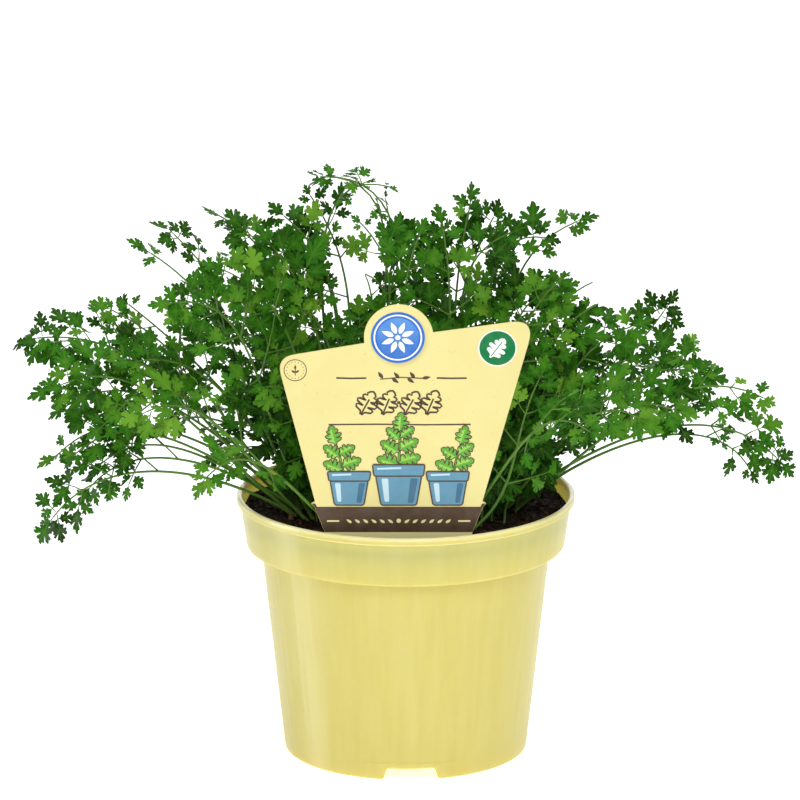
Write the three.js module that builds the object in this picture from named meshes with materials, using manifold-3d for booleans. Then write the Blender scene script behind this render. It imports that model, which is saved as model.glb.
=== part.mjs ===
// Potted chervil: a pale yellow plastic pot with a stepped rim, filled with soil, finely cut leaves that
// stand in the soil on thin stalks, and a plant label pushed into the soil behind the front of the rim.
// Millimetres, +Z up. The origin is the centre of the pot's foot, and the label faces -Y.
import * as THREE from "three";
import { mergeVertices } from "three/addons/utils/BufferGeometryUtils.js";
import Module from "manifold-3d";

const wasm = await Module();
wasm.setup();
const { degToRad, lerp, clamp } = THREE.MathUtils;
const UPWARDS = new THREE.Vector3(0, 0, 1);
const TO_THE_FRONT = new THREE.Vector3(0, -1, 0);

// The pot: a thin moulded wall that steps outwards to a broad rim band with a rounded lip.
const POT_HEIGHT = 92;
const RIM_RADIUS = 60;
const RIM_CROWN = 1.6;
const LIP_DEPTH = 2.6;
const LIP_EDGE = 0.7;
const BAND_TOP_RADIUS = 58.4;
const BAND_FOOT_RADIUS = 56.4;
const BAND_FOOT_Z = 75;
const BAND_FOOT_EDGE = 0.8;
const BODY_TOP_RADIUS = 51.2;
const BODY_FOOT_RADIUS = 43.5;
const FOOT_ROUND = 1.2;
const WALL = 1.3;
const FLOOR_UNDERSIDE_Z = 3.9;
const FLOOR_THICKNESS = 1.4;
const POT_SIDES = 32;

// Drain notches in the foot ring, and drain holes through the floor.
const NOTCH_COUNT = 3;
const NOTCH_WIDTH = 17.7;
const NOTCH_HEIGHT = 4.5;
const NOTCH_DEPTH = 9;
const NOTCH_TURN = degToRad(2.4);
const DRAIN_HOLE_COUNT = 6;
const DRAIN_HOLE_RADIUS = 4;
const DRAIN_HOLE_SIDES = 6;
const DRAIN_HOLE_RING_RADIUS = 27;

// The soil, a little below the rim and raised in the middle. Stalks and stake stand in holes a little wider.
const SOIL_GAP = 0.4;
const SOIL_EDGE_Z = 87;
const SOIL_CENTRE_Z = 89.5;
const SOIL_SIDES = 26;
const STALK_HOLE_RADIUS = 1.95;
const STALK_HOLE_SIDES = 4;
const HOLE_END_GAP = 0.7;
const SLOT_GAP = 0.5;

// The label: a thin card that widens upwards, with a round head on its slanted top edge. Its places are
// given as [x, y] on the card, with y = 0 level with the pot's rim. Side points are mirrored on the left.
const LABEL_THICKNESS = 0.6;
const LABEL_X = -2.5;
const LABEL_Y = -47.3;
const LABEL_LEAN = degToRad(5);
const LABEL_HEAD_RADIUS = 12.1;
const LABEL_HEAD_HEIGHT = 74;
const LABEL_TOP_LEFT = [-42.7, 66.5];
const LABEL_TOP_RIGHT = [47.6, 80.8];
const LABEL_SLOPES = { left: 0.175, right: 0.141 };
const LABEL_CORNER_RADIUS = 6;
const LABEL_EAR = [[29.6, 10.9], [30.7, 12.2], [29.4, 12.9]];
const LABEL_STAKE = [[3, -44], [9, -12], [22.7, -8], [26, 1.4]];
const LABEL_STAKE_TIP = -50;
const LABEL_CURVE_SEGMENTS = 7;

// The stalks of the leaves, and where they stand in the soil.
const STALK_HALF_WIDTH = 0.75;
const STALK_RINGS = 5;
const STALK_LIFT = 1.2;
const BURIED_DEPTH = 7;
const ROOT_RING_INNER = 9;
const ROOT_RING_OUTER = 38;
const ROOT_FULL_REACH = 115;
const ROOT_SCATTER = 8;
const ROOT_FRONT_LIMIT = -40;
const ROOT_HANDLE = 0.42;
const TIP_HANDLE = 0.4;

// The blades: thin arched plates cut into pinnae, and those into leaflets. Lengths of leaflets are shares of
// their pinna's length, and those of pinnae are shares of the blade's.
const RACHIS_HALF_WIDTH = 0.6;
const PINNA_STALK_HALF_WIDTH = 0.45;
const BLADE_HALF_THICKNESS = 0.32;
const BLADE_CUP = 0.14;
const BLADE_SAG = 0.6;
const PINNA_LIFT = 0.18;
const PINNA_ANGLES = [58, 52, 46].map(degToRad);
const PINNA_ANGLE_SPREAD = 0.1;
const PINNA_LENGTH_SPREAD = [0.9, 1.1];
const PINNA_STEP = 0.025;
const PINNA_FOOT = 0.8;
const LEAFLET_ANGLE = degToRad(50);
const LEAFLET_HALF_WIDTH = 0.4;
const LEAFLET_TOOTH = 0.5;
const LEAFLET_AT_FOOT = 0.36;
const LEAFLET_AT_TIP = 0.24;
const LEAFLET_STALK = 0.03;
const END_LEAFLET_STARTS = [0.25, 0.72, 0.78];
const TOP_LEAFLET_ANGLE = degToRad(72);
const TOP_LEAFLET = 0.13;
const TOP_LEAFLET_FOOT = 1.2;
const TOP_LEAFLET_BASE = 0.06;
const TOP_SHOULDER = [0.6, 0.32];
const OUTWARD_TURN = 0.36;
const SEED = 20261;
const SEED_STEP = 977;

// Leaves keep this clear of each other, of the pot and of the label, and are bent by up to so many nudges.
const CLEARANCE = 0.35;
const MOST_NUDGES = 160;
const NUDGE_STEP = 2.2;
const ROOT_NUDGE = 0.3;
const GOLDEN_ANGLE = 2.399963;
const NUDGE_RISE_TURNS = 1.7;
const MERGE_DISTANCE = 1e-4;
const CLEAR_ABOVE_SOIL = 3;
const ROOT_SURROUND = 6;

// Three kinds of leaf. For each pair of pinnae from the lowest up: where the side leaflets stand on the
// pinna, where the pinna stands on the rachis, and its length. Last comes where the top leaflets start.
const LEAF_KINDS = {
  full: { sides: [[0.3, 0.6], [0.42], []], feet: [0.03, 0.35, 0.58], lengths: [0.52, 0.38, 0.22], top: 0.83 },
  middling: { sides: [[0.42], [0.45], []], feet: [0.03, 0.34, 0.57], lengths: [0.46, 0.34, 0.22], top: 0.83 },
  small: { sides: [[0.42], []], feet: [0.05, 0.43], lengths: [0.46, 0.28], top: 0.79 },
};

// The outer leaves, set one by one: the place of the tip, how far the stalk leans from upright at its foot,
// the pitch of the tip above level, the blade's length, and how far its upper side turns from up to the
// front. A root is given where the stalk has a place of its own in the soil.
const OUTER_LEAVES = [
  { tip: [-34, -8, 212], lean: 4, pitch: -5, blade: 37, face: 8, kind: "small" },
  { tip: [-129, -25, 86], lean: 56, pitch: -62, blade: 53, face: 68, kind: "middling" },
  { tip: [-139, 5, 149], lean: 50, pitch: -12, blade: 54, face: 48, kind: "middling" },
  { tip: [-88, 30, 187], lean: 25, pitch: 40, blade: 50, face: 10, kind: "middling" },
  { tip: [24, 5, 204], lean: 10, pitch: 75, blade: 40, face: 68, kind: "small" },
  { tip: [66, 8, 194], lean: 18, pitch: 16, blade: 44, face: 32, kind: "small" },
  { tip: [74, 25, 168], lean: 28, pitch: 8, blade: 54, face: 6, kind: "small" },
  { tip: [137, -5, 103], lean: 50, pitch: -55, blade: 54, face: 48, kind: "middling" },
  { tip: [110, 2, 137], lean: 45, pitch: -28, blade: 64, face: 50, kind: "full" },
  { tip: [-38, 6, 208], lean: 12, pitch: 52, blade: 50, face: 48, kind: "middling" },
  { tip: [-62, -5, 196], lean: 20, pitch: 35, blade: 58, face: 53, kind: "middling" },
  { tip: [-48, -14, 199], lean: 15, pitch: 45, blade: 58, face: 58, kind: "full" },
  { tip: [-105, 28, 161], lean: 42, pitch: 35, blade: 48, face: 48, kind: "middling" },
  { tip: [-127, -26, 138], lean: 50, pitch: -33, blade: 62, face: 58, kind: "full" },
  { tip: [-125, 12, 122], lean: 52, pitch: -42, blade: 60, face: 58, kind: "full" },
  { tip: [-98, -14, 152], lean: 42, pitch: -15, blade: 56, face: 50, kind: "full" },
  { tip: [-97, -48, 133], lean: 45, pitch: -33, blade: 56, face: 53, kind: "full" },
  { tip: [-72, -94, 122], lean: 52, pitch: -35, blade: 42, face: 50, kind: "small" },
  { tip: [-88, 32, 160], lean: 35, pitch: -10, blade: 48, face: 45, kind: "middling" },
  { tip: [-82, -32, 169], lean: 32, pitch: -10, blade: 59, face: 50, kind: "full" },
  { tip: [-20, -20, 181], lean: 12, pitch: 10, blade: 51, face: 53, kind: "middling" },
  { tip: [-2, 12, 192], lean: 8, pitch: 60, blade: 52, face: 58, kind: "middling" },
  { tip: [40, 15, 190], lean: 15, pitch: 50, blade: 52, face: 48, kind: "middling" },
  { tip: [90, 25, 166], lean: 35, pitch: 55, blade: 50, face: 58, kind: "middling" },
  { tip: [86, -45, 130], lean: 46, pitch: -38, blade: 56, face: 60, kind: "full" },
  { tip: [100, -22, 128], lean: 50, pitch: -30, blade: 52, face: 53, kind: "middling" },
  { tip: [70, -15, 165], lean: 30, pitch: 0, blade: 60, face: 53, kind: "full" },
  { tip: [50, -32, 150], root: [19, -40], lean: 62, pitch: 55, blade: 48, face: 53, kind: "middling" },
  { tip: [66, -94, 140], lean: 48, pitch: -20, blade: 42, face: 50, kind: "small" },
  { tip: [-54, -42, 142], lean: 35, pitch: -22, blade: 46, face: 53, kind: "middling" },
];

// The leaves behind are spread evenly round the back of the pot, by azimuth in degrees. The tiers take turns.
const BACK_LEAF_COUNT = 10;
const BACK_FIRST_AZIMUTH = 20;
const BACK_LAST_AZIMUTH = 165;
const BACK_TIERS = [
  { reach: 102, height: 124, lean: 44, pitch: -36, blade: 60, face: 40, kind: "middling" },
  { reach: 50, height: 180, lean: 18, pitch: 30, blade: 52, face: 40, kind: "small" },
  { reach: 88, height: 154, lean: 32, pitch: -12, blade: 56, face: 40, kind: "middling" },
];

// A small repeatable source of numbers from 0 to 1.
function drawsFrom(seed) {
  let state = Math.imul(seed, 2654435761) >>> 0;
  return () => {
    state = (Math.imul(state, 1664525) + 1013904223) >>> 0;
    return state / 4294967296;
  };
}

// A closed geometry as a solid that can be joined and cut, with its faces pointing out.
function solidOf(geometry) {
  const bare = geometry.clone();
  bare.deleteAttribute("normal");
  bare.deleteAttribute("uv");
  const merged = mergeVertices(bare, MERGE_DISTANCE);
  const triVerts = new Uint32Array(merged.index.array);
  const vertProperties = merged.attributes.position.array;
  const made = new wasm.Manifold(new wasm.Mesh({ numProp: 3, vertProperties, triVerts }));
  if (made.volume() > 0) return made;
  for (let i = 0; i < triVerts.length; i += 3) {
    [triVerts[i + 1], triVerts[i + 2]] = [triVerts[i + 2], triVerts[i + 1]];
  }
  return new wasm.Manifold(new wasm.Mesh({ numProp: 3, vertProperties, triVerts }));
}

function geometryOf(solid) {
  const mesh = solid.getMesh();
  const geometry = new THREE.BufferGeometry();
  geometry.setAttribute("position", new THREE.BufferAttribute(mesh.vertProperties, 3));
  geometry.setIndex(new THREE.BufferAttribute(mesh.triVerts, 1));
  geometry.computeVertexNormals();
  return geometry;
}

// A profile of [radius, height] pairs turned about +Z.
function turned(profile, sides) {
  const points = profile.map(([radius, height]) => new THREE.Vector2(radius, height));
  return new THREE.LatheGeometry(points, sides).rotateX(Math.PI / 2);
}

function uprightPrism(radius, height, sides) {
  return new THREE.CylinderGeometry(radius, radius, height, sides).rotateX(Math.PI / 2);
}

function potProfile() {
  const lipFootZ = POT_HEIGHT - LIP_DEPTH;
  const floorTopZ = FLOOR_UNDERSIDE_Z + FLOOR_THICKNESS;
  const ledgeZ = BAND_FOOT_Z + WALL;
  const footInner = BODY_FOOT_RADIUS - 2 * WALL;
  return [
    [0, FLOOR_UNDERSIDE_Z],
    [footInner, FLOOR_UNDERSIDE_Z],
    [footInner, 0],
    [BODY_FOOT_RADIUS - FOOT_ROUND / 2, 0],
    [BODY_FOOT_RADIUS, FOOT_ROUND],
    [BODY_TOP_RADIUS, BAND_FOOT_Z],
    [BAND_FOOT_RADIUS - BAND_FOOT_EDGE, BAND_FOOT_Z],
    [BAND_FOOT_RADIUS, BAND_FOOT_Z + BAND_FOOT_EDGE],
    [BAND_TOP_RADIUS, lipFootZ],
    [RIM_RADIUS, POT_HEIGHT - RIM_CROWN],
    [RIM_RADIUS - LIP_EDGE, POT_HEIGHT],
    [BAND_TOP_RADIUS - WALL + LIP_EDGE / 2, POT_HEIGHT],
    [BAND_TOP_RADIUS - WALL, lipFootZ],
    [BAND_FOOT_RADIUS - WALL, ledgeZ],
    [BODY_TOP_RADIUS - WALL, ledgeZ],
    [BODY_FOOT_RADIUS - WALL, floorTopZ],
    [0, floorTopZ],
  ];
}

function makePot() {
  let pot = solidOf(turned(potProfile(), POT_SIDES));
  for (let i = 0; i < NOTCH_COUNT; i += 1) {
    const azimuth = NOTCH_TURN - Math.PI / 2 + (i * 2 * Math.PI) / NOTCH_COUNT;
    const notch = new THREE.BoxGeometry(NOTCH_DEPTH, NOTCH_WIDTH, 2 * NOTCH_HEIGHT);
    notch.translate(BODY_FOOT_RADIUS - WALL, 0, 0).rotateZ(azimuth);
    pot = pot.subtract(solidOf(notch));
  }
  for (let i = 0; i < DRAIN_HOLE_COUNT; i += 1) {
    const azimuth = ((i + 0.5) * 2 * Math.PI) / DRAIN_HOLE_COUNT;
    const hole = uprightPrism(DRAIN_HOLE_RADIUS, 4 * FLOOR_THICKNESS, DRAIN_HOLE_SIDES);
    hole.translate(DRAIN_HOLE_RING_RADIUS, 0, FLOOR_UNDERSIDE_Z).rotateZ(azimuth);
    pot = pot.subtract(solidOf(hole));
  }
  return pot;
}

// The radius of the soil where its top meets the rim band.
function soilEdgeRadius() {
  const bandRise = (SOIL_EDGE_Z - BAND_FOOT_Z) / (POT_HEIGHT - LIP_DEPTH - BAND_FOOT_Z);
  return lerp(BAND_FOOT_RADIUS, BAND_TOP_RADIUS, bandRise) - WALL - SOIL_GAP;
}

function soilHeight(radius) {
  return lerp(SOIL_CENTRE_Z, SOIL_EDGE_Z, radius / soilEdgeRadius());
}

// The soil fills the pot up to a shallow mound, with a small gap inside the wall.
function soilProfile() {
  const inset = WALL + SOIL_GAP;
  const floorZ = FLOOR_UNDERSIDE_Z + FLOOR_THICKNESS + SOIL_GAP;
  const ledgeZ = BAND_FOOT_Z + inset;
  return [
    [0, floorZ],
    [BODY_FOOT_RADIUS - inset, floorZ],
    [BODY_TOP_RADIUS - inset, ledgeZ],
    [BAND_FOOT_RADIUS - inset, ledgeZ],
    [soilEdgeRadius(), SOIL_EDGE_Z],
    [0, SOIL_CENTRE_Z],
  ];
}

function makeSoil(leaves) {
  const soil = solidOf(turned(soilProfile(), SOIL_SIDES));
  const holes = leaves.map(({ root }) => {
    const hole = uprightPrism(STALK_HOLE_RADIUS, 2 * (BURIED_DEPTH + HOLE_END_GAP), STALK_HOLE_SIDES);
    return solidOf(hole.translate(root.x, root.y, root.z));
  });
  const settings = { depth: LABEL_THICKNESS + 2 * SLOT_GAP, bevelEnabled: false };
  const slot = new THREE.ExtrudeGeometry(stakeShape(SLOT_GAP), settings).translate(0, 0, -SLOT_GAP);
  return soil.subtract(wasm.Manifold.union([...holes, solidOf(stoodAsLabel(slot))]));
}

function mirrored(points) {
  return points.map(([x, y]) => [-x, y]).reverse();
}

function shapeThrough(points) {
  return new THREE.Shape(points.map(([x, y]) => new THREE.Vector2(x, y)));
}

// The part of the label that the soil holds, grown by a gap all round: a stake that ends in a point.
function stakeShape(gap) {
  const side = LABEL_STAKE.map(([x, y]) => [x + gap, y > 0 ? y : y - gap]);
  return shapeThrough([[0, LABEL_STAKE_TIP - gap], ...side, ...mirrored(side)]);
}

// The whole outline of the label, from the tip of its stake up the right side and down the left. A small ear
// stands out on each side where the card starts to widen.
function labelShape() {
  const side = [...LABEL_STAKE, ...LABEL_EAR];
  const shape = shapeThrough([[0, LABEL_STAKE_TIP], ...side]);
  const leftSide = mirrored(side);
  const towards = (from, to) => new THREE.Vector2(to[0] - from[0], to[1] - from[1]);
  const back = towards(LABEL_TOP_RIGHT, side.at(-1));
  roundCorner(shape, LABEL_TOP_RIGHT, back, new THREE.Vector2(-1, -LABEL_SLOPES.right));
  shape.absarc(0, LABEL_HEAD_HEIGHT, LABEL_HEAD_RADIUS, ...headAngles(), false);
  const onward = towards(LABEL_TOP_LEFT, leftSide[0]);
  roundCorner(shape, LABEL_TOP_LEFT, new THREE.Vector2(1, LABEL_SLOPES.left), onward);
  leftSide.forEach(([x, y]) => shape.lineTo(x, y));
  return shape;
}

// A rounded corner: both directions lead away from the corner, the first back along the line drawn so far.
function roundCorner(shape, [x, y], back, onward) {
  const reach = LABEL_CORNER_RADIUS / Math.tan(back.angleTo(onward) / 2);
  const from = back.clone().setLength(reach);
  const to = onward.clone().setLength(reach);
  shape.lineTo(x + from.x, y + from.y);
  shape.quadraticCurveTo(x, y, x + to.x, y + to.y);
}

// The angles at which the round head meets the slanted top edge, on its right and on its left.
function headAngles() {
  const meeting = (side, [x, y], slope) => {
    const height = y + slope * (side * LABEL_HEAD_RADIUS - x) - LABEL_HEAD_HEIGHT;
    return Math.asin(height / LABEL_HEAD_RADIUS);
  };
  const right = meeting(1, LABEL_TOP_RIGHT, LABEL_SLOPES.right);
  const left = meeting(-1, LABEL_TOP_LEFT, LABEL_SLOPES.left);
  return [right, Math.PI - left];
}

// Stands a flat geometry up where the label is: its own Y runs up the card, and its Z out of the front.
function stoodAsLabel(geometry) {
  return geometry.rotateX(Math.PI / 2 + LABEL_LEAN).translate(LABEL_X, LABEL_Y, POT_HEIGHT);
}

function makeLabel() {
  const settings = { depth: LABEL_THICKNESS, bevelEnabled: false, curveSegments: LABEL_CURVE_SEGMENTS };
  return solidOf(stoodAsLabel(new THREE.ExtrudeGeometry(labelShape(), settings)));
}

// A leaflet as tooth, tip and tooth. Places in a blade are [along the rachis, out from it].
function leafletPoints([along, out], heading, length) {
  const at = (forward, across) => [
    along + length * (forward * Math.cos(heading) - across * Math.sin(heading)),
    out + length * (forward * Math.sin(heading) + across * Math.cos(heading)),
  ];
  return [at(LEAFLET_TOOTH, LEAFLET_HALF_WIDTH), at(1, 0), at(LEAFLET_TOOTH, -LEAFLET_HALF_WIDTH)];
}

// A pinna from the rachis out to its tip and back, with its leaflets cut to its own stalk. It starts on the
// side of the blade's foot.
function pinnaPoints(foot, heading, length, sides) {
  const axis = (share, across) => [
    foot + share * length * Math.cos(heading) - across * Math.sin(heading),
    RACHIS_HALF_WIDTH + share * length * Math.sin(heading) + across * Math.cos(heading),
  ];
  const half = PINNA_STALK_HALF_WIDTH;
  const sideLeaflet = (share, side) => {
    const size = length * lerp(LEAFLET_AT_FOOT, LEAFLET_AT_TIP, share);
    return leafletPoints(axis(share, side * half), heading + side * LEAFLET_ANGLE, size);
  };
  const nearSide = sides.flatMap((share) => [axis(share - LEAFLET_STALK, half), ...sideLeaflet(share, 1)]);
  const farSide = sides.map((share) => [...sideLeaflet(share, -1), axis(share - LEAFLET_STALK, -half)]);
  const end = END_LEAFLET_STARTS[sides.length];
  return [
    [foot - half / Math.sin(heading), RACHIS_HALF_WIDTH],
    ...nearSide,
    axis(end, half),
    ...leafletPoints(axis(end, 0), heading, length * (1 - end)),
    axis(end, -half),
    ...farSide.reverse().flat(),
    [foot + half / Math.sin(heading), RACHIS_HALF_WIDTH],
  ];
}

// One side of a blade, from its foot to beside its tip. The lift raises or lowers a whole pinna a little.
function bladeSide(kind, length, random) {
  const points = [{ along: 0, out: RACHIS_HALF_WIDTH, lift: 0 }];
  kind.sides.forEach((sides, i) => {
    const lift = PINNA_LIFT * (2 * random() - 1);
    const reach = length * kind.lengths[i] * lerp(...PINNA_LENGTH_SPREAD, random());
    const foot = length * (kind.feet[i] + PINNA_STEP * random()) + PINNA_FOOT;
    const heading = PINNA_ANGLES[i] + PINNA_ANGLE_SPREAD * (random() - 0.5);
    const outline = pinnaPoints(foot, heading, reach, sides);
    points.push(...outline.map(([along, out]) => ({ along, out, lift })));
  });
  const start = kind.top * length;
  const rest = length - start;
  const top = [
    [start - TOP_LEAFLET_FOOT, RACHIS_HALF_WIDTH],
    ...leafletPoints([start, RACHIS_HALF_WIDTH], TOP_LEAFLET_ANGLE, TOP_LEAFLET * length),
    [start + TOP_LEAFLET_BASE * length, RACHIS_HALF_WIDTH],
    [start + TOP_SHOULDER[0] * rest, TOP_SHOULDER[1] * rest],
  ];
  points.push(...top.map(([along, out]) => ({ along, out, lift: 0 })));
  return points;
}

// The outline of a blade, up its right side, round its tip and down its left.
function bladeOutline({ kind, blade }, random) {
  const right = bladeSide(LEAF_KINDS[kind], blade, random).map((point) => ({ ...point, out: -point.out }));
  const left = bladeSide(LEAF_KINDS[kind], blade, random);
  return [...right, { along: blade, out: 0, lift: 0 }, ...left.reverse()];
}

// Leaves that reach further stand further out in the soil, each a little beside the line to its tip.
function rootBelow({ tip: [x, y], rootShift }) {
  const reach = Math.hypot(x, y);
  const radius = lerp(ROOT_RING_INNER, ROOT_RING_OUTER, Math.min(1, reach / ROOT_FULL_REACH));
  return [(radius * x) / reach + rootShift[0], (radius * y) / reach + rootShift[1]];
}

function rootOf(leaf, nudge) {
  const aim = leaf.root ?? rootBelow(leaf);
  const x = aim[0] + ROOT_NUDGE * nudge.x;
  const y = Math.max(aim[1] + ROOT_NUDGE * nudge.y, ROOT_FRONT_LIMIT);
  return new THREE.Vector3(x, y, soilHeight(Math.hypot(x, y)) + STALK_LIFT);
}

// The direction that the upper side of the blade turns to: up, and level between the front and outwards.
function upperSide({ tip: [x, y], face, outward }) {
  const level = TO_THE_FRONT.clone().lerp(new THREE.Vector3(x, y, 0).normalize(), outward);
  return level.setLength(Math.sin(degToRad(face))).setZ(Math.cos(degToRad(face)));
}

// The curve that a leaf's stalk and rachis follow, from the soil to the tip.
function leafCurve(leaf, root, nudge) {
  const tip = new THREE.Vector3(...leaf.tip).add(nudge);
  const outward = tip.clone().sub(root).setZ(0).normalize();
  const chord = tip.distanceTo(root);
  const [lean, pitch] = [degToRad(leaf.lean), degToRad(leaf.pitch)];
  const rising = outward.clone().multiplyScalar(Math.sin(lean)).addScaledVector(UPWARDS, Math.cos(lean));
  const ending = outward.clone().multiplyScalar(Math.cos(pitch)).addScaledVector(UPWARDS, Math.sin(pitch));
  const first = root.clone().addScaledVector(rising, ROOT_HANDLE * chord);
  const last = tip.clone().addScaledVector(ending, -TIP_HANDLE * chord);
  return { curve: new THREE.CubicBezierCurve3(root, first, last, tip), outward };
}

// The line of a leaf, from its root to its tip. The blade keeps one set of directions: forward along its
// chord, depth towards its upper side, and width across. The stalk turns evenly until it meets them.
function leafLine(leaf, root, nudge) {
  const { curve, outward } = leafCurve(leaf, root, nudge);
  const length = curve.getLength();
  const bladeStart = length - leaf.blade;
  const placeAt = (distance) => {
    const share = clamp(distance / length, 0, 1);
    return { at: curve.getPointAt(share), along: curve.getTangentAt(share) };
  };
  const forward = placeAt(length).at.sub(placeAt(bladeStart).at).normalize();
  const facing = upperSide(leaf);
  const depth = facing.addScaledVector(forward, -facing.dot(forward)).normalize();
  const width = depth.clone().cross(forward);
  const level = new THREE.Vector3().crossVectors(UPWARDS, outward);
  const unrolled = (distance) => {
    const { at, along } = placeAt(distance);
    const side = level.clone().addScaledVector(along, -level.dot(along)).normalize();
    return { at, side, up: along.clone().cross(side) };
  };
  const last = unrolled(bladeStart);
  const fullRoll = Math.atan2(-depth.dot(last.side), depth.dot(last.up));
  const stalkAt = (share) => {
    const { at, side, up } = unrolled(share * bladeStart);
    const [cos, sin] = [Math.cos(share * fullRoll), Math.sin(share * fullRoll)];
    const across = side.clone().multiplyScalar(cos).addScaledVector(up, sin);
    return { at, across, through: up.clone().multiplyScalar(cos).addScaledVector(side, -sin) };
  };
  return { bladeStart, placeAt, forward, width, depth, stalkAt };
}

// The four corners of the stalk, which thins and flattens towards the blade.
function stalkCorners({ at, across, through }, share) {
  const halfWidth = lerp(STALK_HALF_WIDTH, RACHIS_HALF_WIDTH, share);
  const halfDepth = lerp(STALK_HALF_WIDTH, BLADE_HALF_THICKNESS, share);
  return [[-1, 1], [1, 1], [1, -1], [-1, -1]].map(([x, y]) =>
    at.clone().addScaledVector(across, x * halfWidth).addScaledVector(through, y * halfDepth),
  );
}

// The points of a blade's upper or lower face, on a surface that follows the rachis, cups along it and sags
// at the edges. Where the rachis slopes against the chord, the faces part to keep the blade's thickness.
function bladeFace(outline, { bladeStart, placeAt, forward, width, depth }, blade, side) {
  return outline.map(({ along: distance, out, lift }) => {
    const { at, along } = placeAt(bladeStart + distance);
    const half = BLADE_HALF_THICKNESS * Math.hypot(1, along.dot(depth) / along.dot(forward));
    const height = (BLADE_CUP + lift) * Math.abs(out) - (BLADE_SAG * out * out) / blade;
    return at.addScaledVector(width, out).addScaledVector(depth, height + side * half);
  });
}

// A leaf as one closed geometry. The stalk's last four corners are the first and last of each blade face, and
// the two faces of the blade are split into the same triangles, as its outline lies when seen from above it.
function leafGeometry(leaf, nudge) {
  const root = rootOf(leaf, nudge);
  const line = leafLine(leaf, root, nudge);
  const outline = bladeOutline(leaf, drawsFrom(leaf.seed));
  const count = outline.length;
  const upper = bladeFace(outline, line, leaf.blade, 1);
  const points = [...upper, ...bladeFace(outline, line, leaf.blade, -1)];
  const indices = [];
  const flat = upper.map((point) => new THREE.Vector2(point.dot(line.forward), point.dot(line.width)));
  for (const [a, b, c] of THREE.ShapeUtils.triangulateShape(flat, [])) {
    indices.push(a, b, c, count + a, count + c, count + b);
  }
  const quad = (a, b, c, d) => indices.push(a, b, c, a, c, d);
  for (let i = 0; i + 1 < count; i += 1) quad(i, count + i, count + i + 1, i + 1);
  let ring = [0, count - 1, 2 * count - 1, count];
  const joinRing = (corners) => {
    const next = corners.map((corner) => points.push(corner) - 1);
    next.forEach((corner, j) => {
      const k = (j + 1) % next.length;
      quad(ring[j], ring[k], next[k], corner);
    });
    ring = next;
  };
  for (let i = STALK_RINGS - 1; i >= 0; i -= 1) {
    const share = i / STALK_RINGS;
    joinRing(stalkCorners(line.stalkAt(share), share));
  }
  joinRing(stalkCorners(line.stalkAt(0), 0).map((corner) => corner.addScaledVector(UPWARDS, -BURIED_DEPTH)));
  quad(...ring);
  const geometry = new THREE.BufferGeometry().setFromPoints(points).setIndex(indices);
  return { geometry, root };
}

// The small shifts that are tried in turn, each a little larger than the last.
function nudgeOf(step) {
  const turn = GOLDEN_ANGLE * step;
  const nudge = new THREE.Vector3(Math.cos(turn), Math.sin(turn), Math.cos(NUDGE_RISE_TURNS * turn));
  return nudge.multiplyScalar(NUDGE_STEP * Math.sqrt(step));
}

function allLeaves() {
  const outer = OUTER_LEAVES.map((leaf) => ({ ...leaf, outward: OUTWARD_TURN }));
  const back = Array.from({ length: BACK_LEAF_COUNT }, (_, i) => {
    const tier = BACK_TIERS[i % BACK_TIERS.length];
    const azimuth = degToRad(lerp(BACK_FIRST_AZIMUTH, BACK_LAST_AZIMUTH, i / (BACK_LEAF_COUNT - 1)));
    const tip = [tier.reach * Math.cos(azimuth), tier.reach * Math.sin(azimuth), tier.height];
    return { ...tier, tip, outward: 1 };
  });
  return [...outer, ...back].map((leaf, i) => {
    const random = drawsFrom(SEED + SEED_STEP * (i + 1));
    const rootShift = [ROOT_SCATTER * (random() - 0.5), ROOT_SCATTER * (random() - 0.5)];
    return { ...leaf, rootShift, seed: SEED + i, name: `leaf_${String(i + 1).padStart(2, "0")}` };
  });
}

// Whether two boxes come within the clearance of each other.
function boxesMeet(a, b) {
  return [0, 1, 2].every((i) => a.min[i] < b.max[i] + CLEARANCE && b.min[i] < a.max[i] + CLEARANCE);
}

// Whether a leaf stays above the soil, apart from its own foot.
function clearOfSoil(geometry, root) {
  const place = geometry.getAttribute("position");
  for (let i = 0; i < place.count; i += 1) {
    const [x, y] = [place.getX(i), place.getY(i)];
    const overSoil = Math.hypot(x, y) < RIM_RADIUS && Math.hypot(x - root.x, y - root.y) > ROOT_SURROUND;
    if (overSoil && place.getZ(i) < SOIL_CENTRE_Z + CLEAR_ABOVE_SOIL) return false;
  }
  return true;
}

// Bends a leaf clear of everything that stands already, by the first nudge that does it.
function bentClear(leaf, standing) {
  for (let step = 0; step < MOST_NUDGES; step += 1) {
    const { geometry, root } = leafGeometry(leaf, nudgeOf(step));
    if (!clearOfSoil(geometry, root)) continue;
    const solid = solidOf(geometry);
    const box = solid.boundingBox();
    const near = standing.filter((other) => boxesMeet(box, other.box));
    if (near.every((other) => solid.minGap(other.solid, CLEARANCE) >= CLEARANCE)) {
      return { name: leaf.name, solid, box, root };
    }
  }
  throw new Error(`${leaf.name} can't be bent clear`);
}

function matt(color, roughness) {
  return new THREE.MeshStandardMaterial({ color, roughness, metalness: 0 });
}

function named(name, solid, material) {
  const mesh = new THREE.Mesh(geometryOf(solid), material);
  mesh.name = name;
  return mesh;
}

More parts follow.
